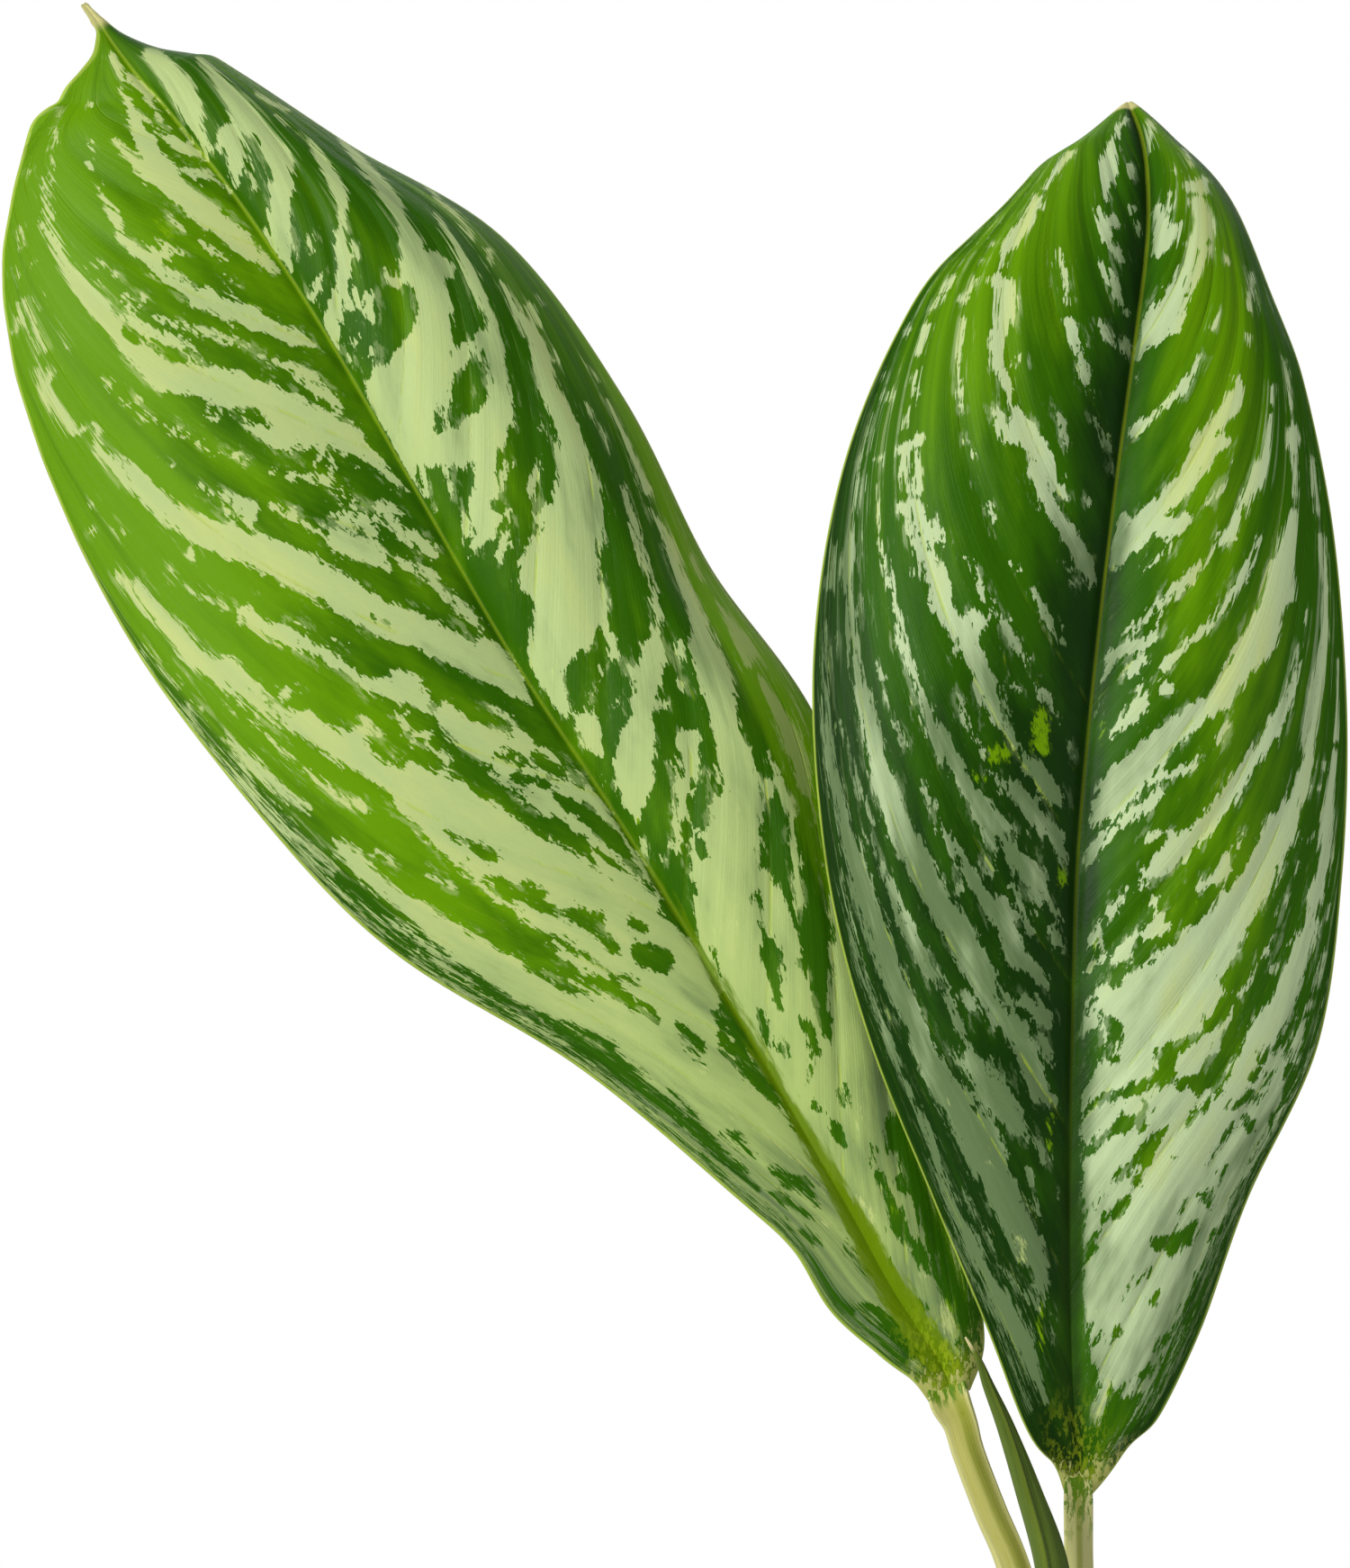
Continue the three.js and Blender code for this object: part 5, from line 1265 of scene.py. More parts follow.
def petiole_object(name, stations, material, stripe_at, columns=44, rows=300):
    """A stalk that is a crescent in section: a sheath round the cane below, nearly round above."""
    share = np.linspace(0, 1, rows)
    path = along([s[0] for s in stations], share)
    tangent = directions(path)
    compass, wrap, wing_low, wing_high, thick = (along([s[k] for s in stations], share) for k in range(1, 6))
    compass = np.radians(compass)
    outward = np.stack([np.cos(compass), np.sin(compass), np.zeros(rows)], -1)
    outward = unit(outward - (outward * tangent).sum(-1, keepdims=True) * tangent)
    sideways = np.cross(tangent, outward)
    axis = path - outward * wrap[:, None]
    inner = (wrap - thick / 2)[:, None]
    roundness = (2 + np.maximum(0, (wing_low + wing_high) / 2 - 30) / 12)[:, None]
    turn = np.sin(np.linspace(-0.5, 0.5, columns + 1) * np.pi)[None]
    wing = np.where(turn < 0, wing_low[:, None], wing_high[:, None])
    angle = np.radians(turn * wing)
    swell = np.exp(-((wrap[:, None] * angle / thick[:, None]) ** 2))
    edge = np.sqrt(1 - 0.9 * np.abs(turn) ** roundness)
    depth = (WING_THICKNESS + (thick[:, None] - WING_THICKNESS) * swell) * edge
    ribs = 0.035 * np.cos(wrap[:, None] * angle / 0.32) * edge * (thick[:, None] / 4)
    direction = outward[:, None] * np.cos(angle)[..., None] + sideways[:, None] * np.sin(angle)[..., None]
    front = axis[:, None] + direction * (inner + depth + ribs)[..., None]
    from_end = (path[-1, 2] - path[:, 2])[:, None]
    open_share = np.clip((45 - (wing_low + wing_high) / 2) / 25, 0, 1)[:, None]
    bulge = 0.12 + 0.7 * open_share * soft_step(from_end, 3, 12)
    back = axis[:, None] + direction * (inner - bulge * edge * (1 - turn**2))[..., None]
    points, faces = strip_mesh(front, back)
    made = mesh_object(name, points, faces, [material])
    height = np.repeat(path[:, 2:3], columns + 1, 1)
    arc = wrap[:, None] * angle
    from_top = height.max() - height
    set_attribute(made, "turn", on_strip(np.repeat(turn, rows, 0)))
    set_attribute(made, "from_top", on_strip(from_top))
    set_attribute(made, "stripe", on_strip(arc - stripe_at * arc.max(axis=1, keepdims=True)))
    set_map(made, "stalk", on_strip(arc) / MAP_UNIT, on_strip(height) / MAP_UNIT)
    return made


def stalk_material(name, looks, stripe_width, blotched, paleness):
    made, nodes = new_material(name)
    place = nodes.place("UV")
    fibres = nodes.grained(place, 0.35, 25, 3, 0.6)
    clouds = nodes.grained(place, 3, 12, 3, 0.55)
    from_top = nodes.attribute("from_top")
    edge = abs(nodes.attribute("turn"))
    streaks = (fibres * 0.5 + clouds * 0.5 + paleness).over(0.3, 0.7)
    colour = nodes.mix(streaks, looks.cream, looks.light)
    colour = nodes.mix(edge.over(0.72, 0.98) * 0.7, colour, looks.light)
    stripe = abs(nodes.attribute("stripe") + (fibres - 0.5) * 0.6)
    fade = 1 - from_top.over(6.0, 60.0)
    band = (1 - stripe.over(stripe_width * 0.3, stripe_width)) * (0.12 + 0.5 * fade)
    colour = nodes.mix(band, colour, looks.stripe)
    blotch = nodes.grained(place, 1.1, 3.2, 4, 0.7)
    near = 1 - from_top.over(3.0, blotched)
    colour = nodes.mix((blotch + near * 0.12).over(0.58, 0.62) * near, colour, looks.blotch)
    base = 6 - from_top - abs(nodes.attribute("stripe")) * 1.5 + (blotches(nodes) - 0.5) * 24
    green = nodes.mix(clouds.over(0.4, 0.6), looks.stripe, looks.blotch)
    colour = nodes.mix(base.over(3.2, 4.6) * 0.8, colour, green)
    sheath = from_top.over(45.0, 80.0)
    colour = nodes.mix(sheath * (0.25 + 0.4 * clouds), colour, looks.stripe)
    colour = nodes.mix(sheath * clouds.over(0.5, 0.62) * 0.4, colour, looks.blotch)
    roughness = 0.42 + (clouds - 0.5) * 0.15
    close_material(nodes, colour, roughness, fibres, 0.0001, **{"Specular IOR Level": 0.2})
    return made


class EVERGREEN_OT_petioles(bpy.types.Operator):
    """Builds the two sheathed leaf stalks"""

    bl_idname = "evergreen.petioles"
    bl_label = "Leaf stalks"

    def execute(self, context):
        looks = context.scene.evergreen_stalk
        left = stalk_material("left stalk", looks, stripe_width=1.5, blotched=5.0, paleness=-0.12)
        right = stalk_material("right stalk", looks, stripe_width=0.9, blotched=13.0, paleness=0.2)
        settle(petiole_object("leaf_stalk_left", LEFT_PETIOLE, left, -0.35), "petiole", "petiole_left")
        settle(petiole_object("leaf_stalk_right", RIGHT_PETIOLE, right, 0.0), "petiole", "petiole_right")
        return {"FINISHED"}


def furled_object(name, material, sides=60, rows=240):
    """A rolled leaf, a spiral in section whose outer margin laps over the roll."""
    share = np.linspace(0, 1, rows)
    path = along([s[0] for s in FURLED_LEAF], share)
    tangent = directions(path)
    across = unit(np.array([1.0, 0, 0]) - tangent * tangent[:, :1])
    ahead = np.cross(tangent, across)
    radius = np.maximum(along([s[1] for s in FURLED_LEAF], share), 0.05)
    seam = np.radians(blended(FURLED_SEAM_TURN, share))[:, None]
    turn = (np.arange(sides) + 0.5) / sides
    angle = seam + 2 * np.pi * turn[None]
    ribs = 0.008 * np.sin(2 * np.pi * turn * 13)
    reach = radius[:, None] * (1 + FURLED_OVERLAP * (turn[None] - 0.5) + ribs)
    rings = path[:, None] + reach[..., None] * (
        np.cos(angle)[..., None] * across[:, None] + np.sin(angle)[..., None] * ahead[:, None]
    )
    faces = ring_faces(rows, sides)
    faces.append(list(range(sides))[::-1])
    faces.append([(rows - 1) * sides + k for k in range(sides)])
    made = mesh_object(name, rings.reshape(-1, 3), faces, [material])
    set_attribute(made, "turn", np.tile(turn, rows))
    set_attribute(made, "from_tip", np.repeat((1 - share) * FURLED_LENGTH, sides))
    # How far each point faces left, towards the key light, for the painted light on the roll.
    set_attribute(made, "left", -np.cos(angle).ravel())
    set_map(made, "roll", np.tile(turn, rows) * ROLL_MAP_WIDTH, np.repeat(path[:, 2], sides) / MAP_UNIT)
    return made


def furled_material(looks):
    made, nodes = new_material("furled leaf")
    place = nodes.place("UV")
    fibres = nodes.grained(place, 0.35, 18, 3, 0.6)
    clouds = nodes.grained(place, 2.5, 9, 3, 0.55)
    turn = nodes.attribute("turn")
    colour = nodes.mix((fibres * 0.6 + clouds * 0.4).over(0.3, 0.7), looks.green, looks.grey_and_painted_light)
    # Painted light: the roll's left side, facing the key light, is painted grey-green.
    colour = nodes.mix(nodes.attribute("left").over(0.1, 0.8) * 0.7, colour, looks.grey_and_painted_light)
    lap = turn.over(0.90, 0.97) * (0.4 + 0.4 * clouds)
    colour = nodes.mix(lap, colour, looks.lap)
    # Painted shade in the step where the rolled margin laps over the roll.
    painted_seam_shade = (1 - turn.over(0.0, 0.05)) * 0.3
    colour = nodes.mix(painted_seam_shade, colour, looks.seam)
    from_tip = nodes.attribute("from_tip") + (fibres - 0.5) * 2.5
    colour = nodes.mix(1 - from_tip.over(3.5, 12.0), colour, looks.lap)
    colour = nodes.mix(1 - from_tip.over(2.5, 7.0), colour, looks.tip)
    roughness = 0.45 + (clouds - 0.5) * 0.15
    close_material(nodes, colour, roughness, fibres, 0.0001, **{"Specular IOR Level": 0.2})
    return made


class EVERGREEN_OT_furled_leaf(bpy.types.Operator):
    """Builds the rolled new leaf"""

    bl_idname = "evergreen.furled_leaf"
    bl_label = "Furled leaf"

    def execute(self, context):
        made = furled_object("furled_leaf_roll", furled_material(context.scene.evergreen_furled))
        settle(made, "furled_leaf", "furled_leaf")
        return {"FINISHED"}


def new_geometry_tree(name, sockets):
    """An empty geometry node tree with named inputs, and the values of those inputs."""
    tree = bpy.data.node_groups.new(name, "GeometryNodeTree")
    for label, kind in (("Geometry", "NodeSocketGeometry"), *sockets):
        tree.interface.new_socket(name=label, in_out="INPUT", socket_type=kind)
    tree.interface.new_socket(name="Geometry", in_out="OUTPUT", socket_type="NodeSocketGeometry")
    nodes = Nodes(tree)
    given = nodes.add("NodeGroupInput")
    return nodes, {label: given.output(label) for label in ("Geometry", *(s[0] for s in sockets))}


def close_geometry_tree(nodes, geometry, material):
    real = nodes.add("GeometryNodeRealizeInstances", {}, {"Geometry": geometry})
    covered = nodes.add("GeometryNodeSetMaterial", {}, {"Geometry": real, "Material": material})
    nodes.add("NodeGroupOutput", {}, {"Geometry": covered})


def grown(made, tree, values):
    """Runs a geometry node tree on an object and keeps the result as its plain mesh."""
    modifier = made.modifiers.new("shape", "NODES")
    modifier.node_group = tree
    for item in tree.interface.items_tree:
        if item.item_type == "SOCKET" and item.in_out == "INPUT" and item.name in values:
            modifier[item.identifier] = values[item.name]
    depsgraph = bpy.context.evaluated_depsgraph_get()
    depsgraph.update()
    finished = made.evaluated_get(depsgraph)
    mesh = bpy.data.meshes.new_from_object(finished, preserve_all_data_layers=True, depsgraph=depsgraph)
    made.modifiers.clear()
    made.data = mesh
    return made


def turned_tree(drained):
    """A tree that turns a profile of edges about +Z, rounds its corners and lets the wall wander a little."""
    nodes, given = new_geometry_tree(
        "turned wall" if not drained else "turned and drained wall",
        [
            ("Sides", "NodeSocketInt"),
            ("Rounding", "NodeSocketFloat"),
            ("Cuts", "NodeSocketInt"),
            ("Wobble", "NodeSocketFloat"),
            ("Ripple", "NodeSocketFloat"),
            ("Drain radius", "NodeSocketFloat"),
            ("Drain circle", "NodeSocketFloat"),
            ("Drain depth", "NodeSocketFloat"),
            ("Material", "NodeSocketMaterial"),
        ],
    )
    curve = nodes.add("GeometryNodeMeshToCurve", {}, {"Mesh": given["Geometry"]})
    curve = nodes.add(
        "GeometryNodeFilletCurve",
        {"mode": "POLY"},
        {"Curve": curve, "Count": 3, "Radius": given["Rounding"], "Limit Radius": True},
    )
    curve = nodes.add("GeometryNodeSubdivideCurve", {}, {"Curve": curve, "Cuts": given["Cuts"]})
    settings = {"component": "CURVE"}
    count = nodes.add("GeometryNodeAttributeDomainSize", settings, {"Geometry": curve}, "Point Count")
    columns = given["Sides"] + 1
    inputs = {"Size X": 1.0, "Size Y": 1.0, "Vertices X": columns, "Vertices Y": count}
    grid = nodes.add("GeometryNodeMeshGrid", {}, inputs)
    index = nodes.add("GeometryNodeInputIndex")
    column = (index / count).floor()
    row = index - column * count
    position = nodes.add("GeometryNodeInputPosition")
    profile = nodes.add(
        "GeometryNodeSampleIndex",
        {"data_type": "FLOAT_VECTOR", "domain": "POINT"},
        {"Geometry": curve, "Value": position, "Index": row},
    )
    radius, _, height = nodes.parts_of(profile)
    angle = column / given["Sides"] * (2 * math.pi)
    x, y = angle.combined("COSINE", angle), angle.sine()
    ring = nodes.add("ShaderNodeCombineXYZ", {}, {0: x, 1: y, 2: height * 12.0})
    wander = nodes.noise(ring, 1.3, 2, 0.5) - 0.5
    swell = 1 + (wander - 0.5) * given["Wobble"] * 2 + (height * 2300.0).sine() * given["Ripple"]
    bent = nodes.add("ShaderNodeCombineXYZ", {}, {0: radius * x * swell, 1: radius * y * swell, 2: height})
    wall = nodes.add("GeometryNodeSetPosition", {}, {"Geometry": grid, "Position": bent})
    wall = nodes.add("GeometryNodeMergeByDistance", {}, {"Geometry": wall, "Distance": 0.00002})
    if drained:
        circle = nodes.add("GeometryNodeMeshCircle", {}, {"Vertices": 3, "Radius": given["Drain circle"]})
        drill = nodes.add(
            "GeometryNodeMeshCylinder",
            {},
            {"Vertices": 32, "Radius": given["Drain radius"], "Depth": given["Drain depth"]},
        )
        holes = nodes.add("GeometryNodeInstanceOnPoints", {}, {"Points": circle, "Instance": drill})
        holes = nodes.add("GeometryNodeRealizeInstances", {}, {"Geometry": holes})
        inputs = {"Geometry": holes, "Rotation": (0, 0, math.radians(30))}
        turned = nodes.add("GeometryNodeTransform", {}, inputs)
        settings = {"operation": "DIFFERENCE", "solver": "EXACT"}
        wall = nodes.add("GeometryNodeMeshBoolean", settings, {"Mesh 1": wall, "Mesh 2": turned})
    smooth = nodes.add("GeometryNodeSetShadeSmooth", {}, {"Geometry": wall})
    close_geometry_tree(nodes, smooth, given["Material"])
    return nodes.tree


def turned_object(name, profile, drained, values):
    """A mesh turned from a profile of (radius, height) pairs in metres."""
    mesh = bpy.data.meshes.new(name)
    points = [(radius, 0, height) for radius, height in profile]
    mesh.from_pydata(points, [(k, k + 1) for k in range(len(points) - 1)], [])
    made = bpy.data.objects.new(name, mesh)
    bpy.context.scene.collection.objects.link(made)
    return grown(made, turned_tree(drained), values)


def inner_radius(sizes, height):
    """The pot's inner wall, which the soil follows."""
    foot = sizes.foot_radius - sizes.wall
    mouth = sizes.rim_radius - sizes.band_step - sizes.wall + 1 * MM
    return foot + (mouth - foot) * height / sizes.height


def pot_profile(sizes):
    band_low = sizes.height - sizes.band_height
    neck = sizes.rim_radius - sizes.band_step - 2 * MM
    rim, edge, floor = sizes.rim_radius, sizes.edge, sizes.floor
    return [
        (0, 0),
        (sizes.foot_radius - edge, 0),
        (sizes.foot_radius, edge),
        (neck, band_low),
        (rim - edge - 1 * MM, band_low),
        (rim - 1 * MM, band_low + edge),
        (rim, sizes.height - 2 * edge),
        (rim - edge, sizes.height - edge / 2),
        (rim - 2 * edge, sizes.height),
        (inner_radius(sizes, sizes.height) + edge, sizes.height),
        (inner_radius(sizes, sizes.height), sizes.height - edge),
        (inner_radius(sizes, floor) + 1 * MM, floor + edge * 2),
        (inner_radius(sizes, floor) - 2 * edge, floor),
        (0, floor),
    ]


def clay_material(sizes, soil):
    """Unglazed clay: grain, throwing lines, salts dried on the outside and a damp line above the soil."""
    made, nodes = new_material("fired clay")
    place = nodes.place("Object")
    x, y, z = nodes.parts_of(place)
    broad = nodes.noise(place, 22, 4, 0.6)
    grain = nodes.noise(place, 900, 3, 0.7)
    rings = nodes.noise(nodes.stretched(place, 12, 12, 900), 1, 3, 0.6)
    colour = nodes.mix((broad * 0.6 + rings * 0.4).over(0.35, 0.65), sizes.clay, sizes.pale_clay)
    colour = nodes.mix(grain.over(0.56, 0.72) * 0.35, colour, sizes.damp)
    colour = nodes.mix(grain.over(0.40, 0.28) * 0.25, colour, sizes.bloom)
    patches = nodes.noise(nodes.stretched(place, 30, 30, 44), 1, 6, 0.68)
    low = 1 - z.over(0.005, 0.07)
    high = z.over(0.078, 0.094) - z.over(0.094, 0.1)
    salt = (patches + low * 0.13 + high * 0.1).over(0.56, 0.74)
    colour = nodes.mix(salt * 0.55, colour, sizes.bloom)
    radius = (x * x + y * y) ** 0.5
    inner_foot = inner_radius(sizes, 0)
    inner_slope = (inner_radius(sizes, sizes.height) - inner_foot) / sizes.height
    from_axis = radius - z * inner_slope
    inside = 1 - from_axis.over(inner_foot + 0.6 * MM, inner_foot + 2.0 * MM)
    damp_line = 1 - (z + (patches - 0.5) * 0.012).over(soil.top + 1 * MM, soil.top + 7 * MM)
    foot = (1 - (z + (patches - 0.5) * 0.02).over(0.004, 0.016)) * 0.35
    wet = inside * z.over(0.05, 0.06) * damp_line * 0.8 + foot * (1 - inside)
    colour = nodes.mix(wet, colour, sizes.damp)
    roughness = 0.86 + (grain - 0.5) * 0.1 + salt * 0.05
    height = grain * 0.5 + rings * 0.45 + salt * 0.3
    close_material(nodes, colour, roughness, height, 0.0004)
    return made


class EVERGREEN_OT_pot(bpy.types.Operator):
    """Turns the clay pot and drills its drain holes"""

    bl_idname = "evergreen.pot"
    bl_label = "Clay pot"

    def execute(self, context):
        sizes = context.scene.evergreen_pot
        values = {
            "Sides": 160,
            "Rounding": 0.0009,
            "Cuts": 2,
            "Wobble": sizes.wobble,
            "Ripple": 0.0006,
            "Drain radius": sizes.drain_radius,
            "Drain circle": sizes.drain_circle,
            "Drain depth": sizes.floor * 4,
            "Material": clay_material(sizes, context.scene.evergreen_soil),
        }
        settle(turned_object("clay_pot", pot_profile(sizes), True, values), "clay", "pot")
        return {"FINISHED"}


def scar_heights(soil):
    """Heights of the two leaf scars over the soil."""
    return soil.top + 3.5 * MM, soil.top + 10 * MM


def cane_profile(sizes, soil):
    """The cane, ringed with the scars of older leaves, and narrower at each node where a sheath starts."""
    radius, scar = sizes.radius, sizes.scar
    low, high = CANE_LOW.z, CANE_HIGH.z
    profile = [(0, low), (radius - 1.5 * MM, low), (radius - 0.3 * MM, low + 2 * MM)]
    for ring in scar_heights(soil):
        profile += [(radius - 0.2 * MM, ring - 1.6 * MM), (radius + scar, ring - 0.3 * MM)]
        profile += [(radius + scar, ring + 0.4 * MM), (radius - 0.4 * MM, ring + 1.2 * MM)]
    profile += [(radius + 0.6 * MM, LEFT_NODE - 1.2 * MM), (radius + 0.9 * MM, LEFT_NODE)]
    profile += [(4.9 * MM, LEFT_NODE), (4.9 * MM, RIGHT_NODE), (3.7 * MM, RIGHT_NODE)]
    return profile + [(3.7 * MM, high - 4 * MM), (2.7 * MM, high), (0, high)]


def cane_material(sizes, soil):
    made, nodes = new_material("cane skin")
    place = nodes.place("Object")
    _, _, z = nodes.parts_of(place)
    streaks = nodes.noise(nodes.stretched(place, 500, 500, 60), 1, 3, 0.6)
    clouds = nodes.noise(place, 140, 3, 0.6)
    colour = nodes.mix((streaks * 0.5 + clouds * 0.5).over(0.35, 0.65), sizes.skin, sizes.pale_skin)
    scars = None
    for ring in (*scar_heights(soil), LEFT_NODE):
        gap = abs(z + (clouds - 0.5) * 0.0012 - ring)
        line = 1 - gap.over(0.0007, 0.0016)
        scars = line if scars is None else scars + line
    colour = nodes.mix(scars.over(0.0, 1.0) * 0.85, colour, sizes.cork)
    corky = nodes.noise(nodes.stretched(place, 700, 700, 350), 1, 2, 0.6).over(0.60, 0.68)
    colour = nodes.mix(corky * 0.45, colour, sizes.cork)
    soiled = 1 - (z + (clouds - 0.5) * 0.006).over(soil.top + 1 * MM, soil.top + 4.5 * MM)
    colour = nodes.mix(soiled * 0.7, colour, soil.brown)
    roughness = 0.55 + scars.over(0.0, 1.0) * 0.3
    close_material(nodes, colour, roughness, streaks + corky * 0.6 + scars * 0.4, 0.00025)
    return made


class EVERGREEN_OT_cane(bpy.types.Operator):
    """Turns the short cane with its leaf scars"""

    bl_idname = "evergreen.cane"
    bl_label = "Cane"

    def execute(self, context):
        sizes = context.scene.evergreen_cane
        soil = context.scene.evergreen_soil
        values = {
            "Sides": 72,
            "Rounding": 0.0006,
            "Cuts": 2,
            "Wobble": 0.02,
            "Ripple": 0.0,
            "Material": cane_material(sizes, soil),
        }
        settle(turned_object("cane_stem", cane_profile(sizes, soil), False, values), "cane", "cane")
        return {"FINISHED"}


def soil_height(sizes, x, y):
    """Low lumps and a mound round the cane, in millimetres."""
    lumps = np.sin(0.21 * x + 1.3) * np.cos(0.19 * y - 0.4)
    lumps = lumps + 0.6 * np.sin(0.43 * x - 0.31 * y) + 0.4 * np.cos(0.5 * x + 0.57 * y + 2)
    fine = 0.35 * np.sin(1.7 * x + 0.9 * y) * np.cos(1.3 * y - 0.8 * x + 1)
    fine = fine + 0.2 * np.sin(2.9 * x - 2.1 * y + 2)
    mound = sizes.mound / MM * np.exp(-((np.hypot(x, y) / 22) ** 2))
    return sizes.top / MM + sizes.relief / MM * lumps + mound + fine


def soil_object(name, sizes, pot, material):
    """The filling of the pot: an uneven top, and plain sides and bottom against the clay."""
    rings, sides = 60, 180
    outer = (inner_radius(pot, sizes.top) / MM) - 0.3
    low = pot.floor / MM + 0.3
    reach = np.linspace(0, 1, rings + 1)[1:] * outer
    angle = np.arange(sides) * 2 * np.pi / sides
    x, y = reach[:, None] * np.cos(angle), reach[:, None] * np.sin(angle)
    drop = soft_step(reach, outer - 4, outer)[:, None] * 0.9
    top = np.stack([x, y, soil_height(sizes, x, y) - drop], -1).reshape(-1, 3)
    bottom_radius = inner_radius(pot, pot.floor + 4 * MM) / MM - 0.5
    bottom = [(bottom_radius * np.cos(a), bottom_radius * np.sin(a), low) for a in angle]
    points = np.concatenate([top, bottom, [(0, 0, soil_height(sizes, 0.0, 0.0))], [(0, 0, low)]])
    faces = ring_faces(rings + 1, sides, flipped=True)
    centre, foot = len(points) - 2, len(points) - 1
    for k in range(sides):
        after = (k + 1) % sides
        faces.append([centre, k, after])
        faces.append([foot, rings * sides + after, rings * sides + k])
    return mesh_object(name, points, faces, [material])


def soil_material(sizes, name="moist peat", shade=None):
    made, nodes = new_material(name)
    place = nodes.place("Object")
    clouds = nodes.noise(place, 90, 5, 0.65)
    grain = nodes.noise(place, 700, 4, 0.7)
    share = clouds * 0.6 + grain * 0.4
    if shade:
        share = share * 0.5 + nodes.attribute(shade) * 0.5
    colour = nodes.mix(share.over(0.32, 0.72), sizes.dark, sizes.brown)
    fibres = nodes.noise(nodes.stretched(place, 1200, 260, 700), 1, 3, 0.7)
    colour = nodes.mix(fibres.over(0.66, 0.74) * 0.5, colour, sizes.bark)
    roughness = 0.92 + (grain - 0.5) * 0.1
    close_material(nodes, colour, roughness, grain + clouds * 0.8, 0.0012)
    return made


def bark_material(sizes):
    made, nodes = new_material("composted bark")
    place = nodes.place("Object")
    grain = nodes.noise(nodes.stretched(place, 300, 300, 1500), 1, 4, 0.7)
    share = grain * 0.6 + nodes.attribute("shade") * 0.4
    colour = nodes.mix(share.over(0.3, 0.7), sizes.brown, sizes.bark)
    close_material(nodes, colour, 0.85 + (grain - 0.5) * 0.1, grain, 0.0006)
    return made


def perlite_material(sizes):
    made, nodes = new_material("perlite")
    place = nodes.place("Object")
    pits = nodes.noise(place, 1500, 3, 0.6)
    colour = nodes.mix(pits.over(0.45, 0.65) * 0.5, sizes.perlite, sizes.brown)
    colour = nodes.mix(nodes.attribute("shade") * 0.35, colour, sizes.brown)
    close_material(nodes, colour, 0.8 + (pits - 0.5) * 0.1, pits, 0.0006)
    return made


def scatter_tree():
    """A tree that strews rough bits over the upward faces of a mesh, clear of the cane and the pot."""
    nodes, given = new_geometry_tree(
        "strewn bits",
        [
            ("Density", "NodeSocketFloat"),
            ("Smallest", "NodeSocketFloat"),
            ("Largest", "NodeSocketFloat"),
            ("Proportions", "NodeSocketVector"),
            ("Level", "NodeSocketInt"),
            ("Tilt", "NodeSocketFloat"),
            ("Seed", "NodeSocketInt"),
            ("Clear radius", "NodeSocketFloat"),
            ("Reach", "NodeSocketFloat"),
            ("Material", "NodeSocketMaterial"),
        ],
    )
    position = nodes.add("GeometryNodeInputPosition")
    x, y, z = nodes.parts_of(position)
    radius = (x * x + y * y) ** 0.5
    normal = nodes.add("GeometryNodeInputNormal")
    _, _, up = nodes.parts_of(normal)
    clear = radius.combined("GREATER_THAN", radius, given["Clear radius"])
    near = radius.combined("LESS_THAN", radius, given["Reach"])
    chosen = clear * near * up.combined("GREATER_THAN", up, 0.5)
    points = nodes.add(
        "GeometryNodeDistributePointsOnFaces",
        {"distribute_method": "RANDOM"},
        {"Mesh": given["Geometry"], "Selection": chosen, "Density": given["Density"], "Seed": given["Seed"]},
    )
    bit = nodes.add("GeometryNodeMeshIcoSphere", {}, {"Radius": 1.0, "Subdivisions": given["Level"]})
    place = nodes.add("GeometryNodeInputPosition")
    rough = nodes.add("ShaderNodeTexNoise", {}, {"Vector": place, "Scale": 1.3, "Detail": 2.0}, "Color")
    push = nodes.add("ShaderNodeVectorMath", {"operation": "SUBTRACT"}, {0: rough, 1: (0.5, 0.5, 0.5)})
    push = nodes.stretched(push, 1.1, 1.1, 1.1)
    bit = nodes.add("GeometryNodeSetPosition", {}, {"Geometry": bit, "Offset": push})
    bit = nodes.add("GeometryNodeTransform", {}, {"Geometry": bit, "Scale": given["Proportions"]})

    def random_value(kind, low, high, seed):
        first, second, out = (0, 1, 0) if kind == "FLOAT_VECTOR" else (2, 3, 1)
        inputs = {first: low, second: high, 8: seed}
        return nodes.add("FunctionNodeRandomValue", {"data_type": kind}, inputs, out)

    tilt = given["Tilt"]
    lean = nodes.add("ShaderNodeCombineXYZ", {}, {0: tilt, 1: tilt, 2: 3.1416})
    back = nodes.stretched(lean, -1, -1, -1)
    turn = random_value("FLOAT_VECTOR", back, lean, 5)
    size = random_value("FLOAT", 0.0, 1.0, 6) ** 2.2
    size = given["Smallest"] + (given["Largest"] - given["Smallest"]) * size
    inputs = {"Points": points, "Instance": bit, "Rotation": turn, "Scale": size}
    spread = nodes.add("GeometryNodeInstanceOnPoints", {}, inputs)
    shade = random_value("FLOAT", 0.0, 1.0, 7)
    spread = nodes.add(
        "GeometryNodeStoreNamedAttribute",
        {"data_type": "FLOAT", "domain": "INSTANCE"},
        {"Geometry": spread, "Name": "shade", "Value": shade},
    )
    close_geometry_tree(nodes, spread, given["Material"])
    return nodes.tree


def strewn(name, ground, tree, values):
    """Bits strewn over the ground, as one piece."""
    made = bpy.data.objects.new(name, ground.data.copy())
    bpy.context.scene.collection.objects.link(made)
    return settle(grown(made, tree, values), "soil")


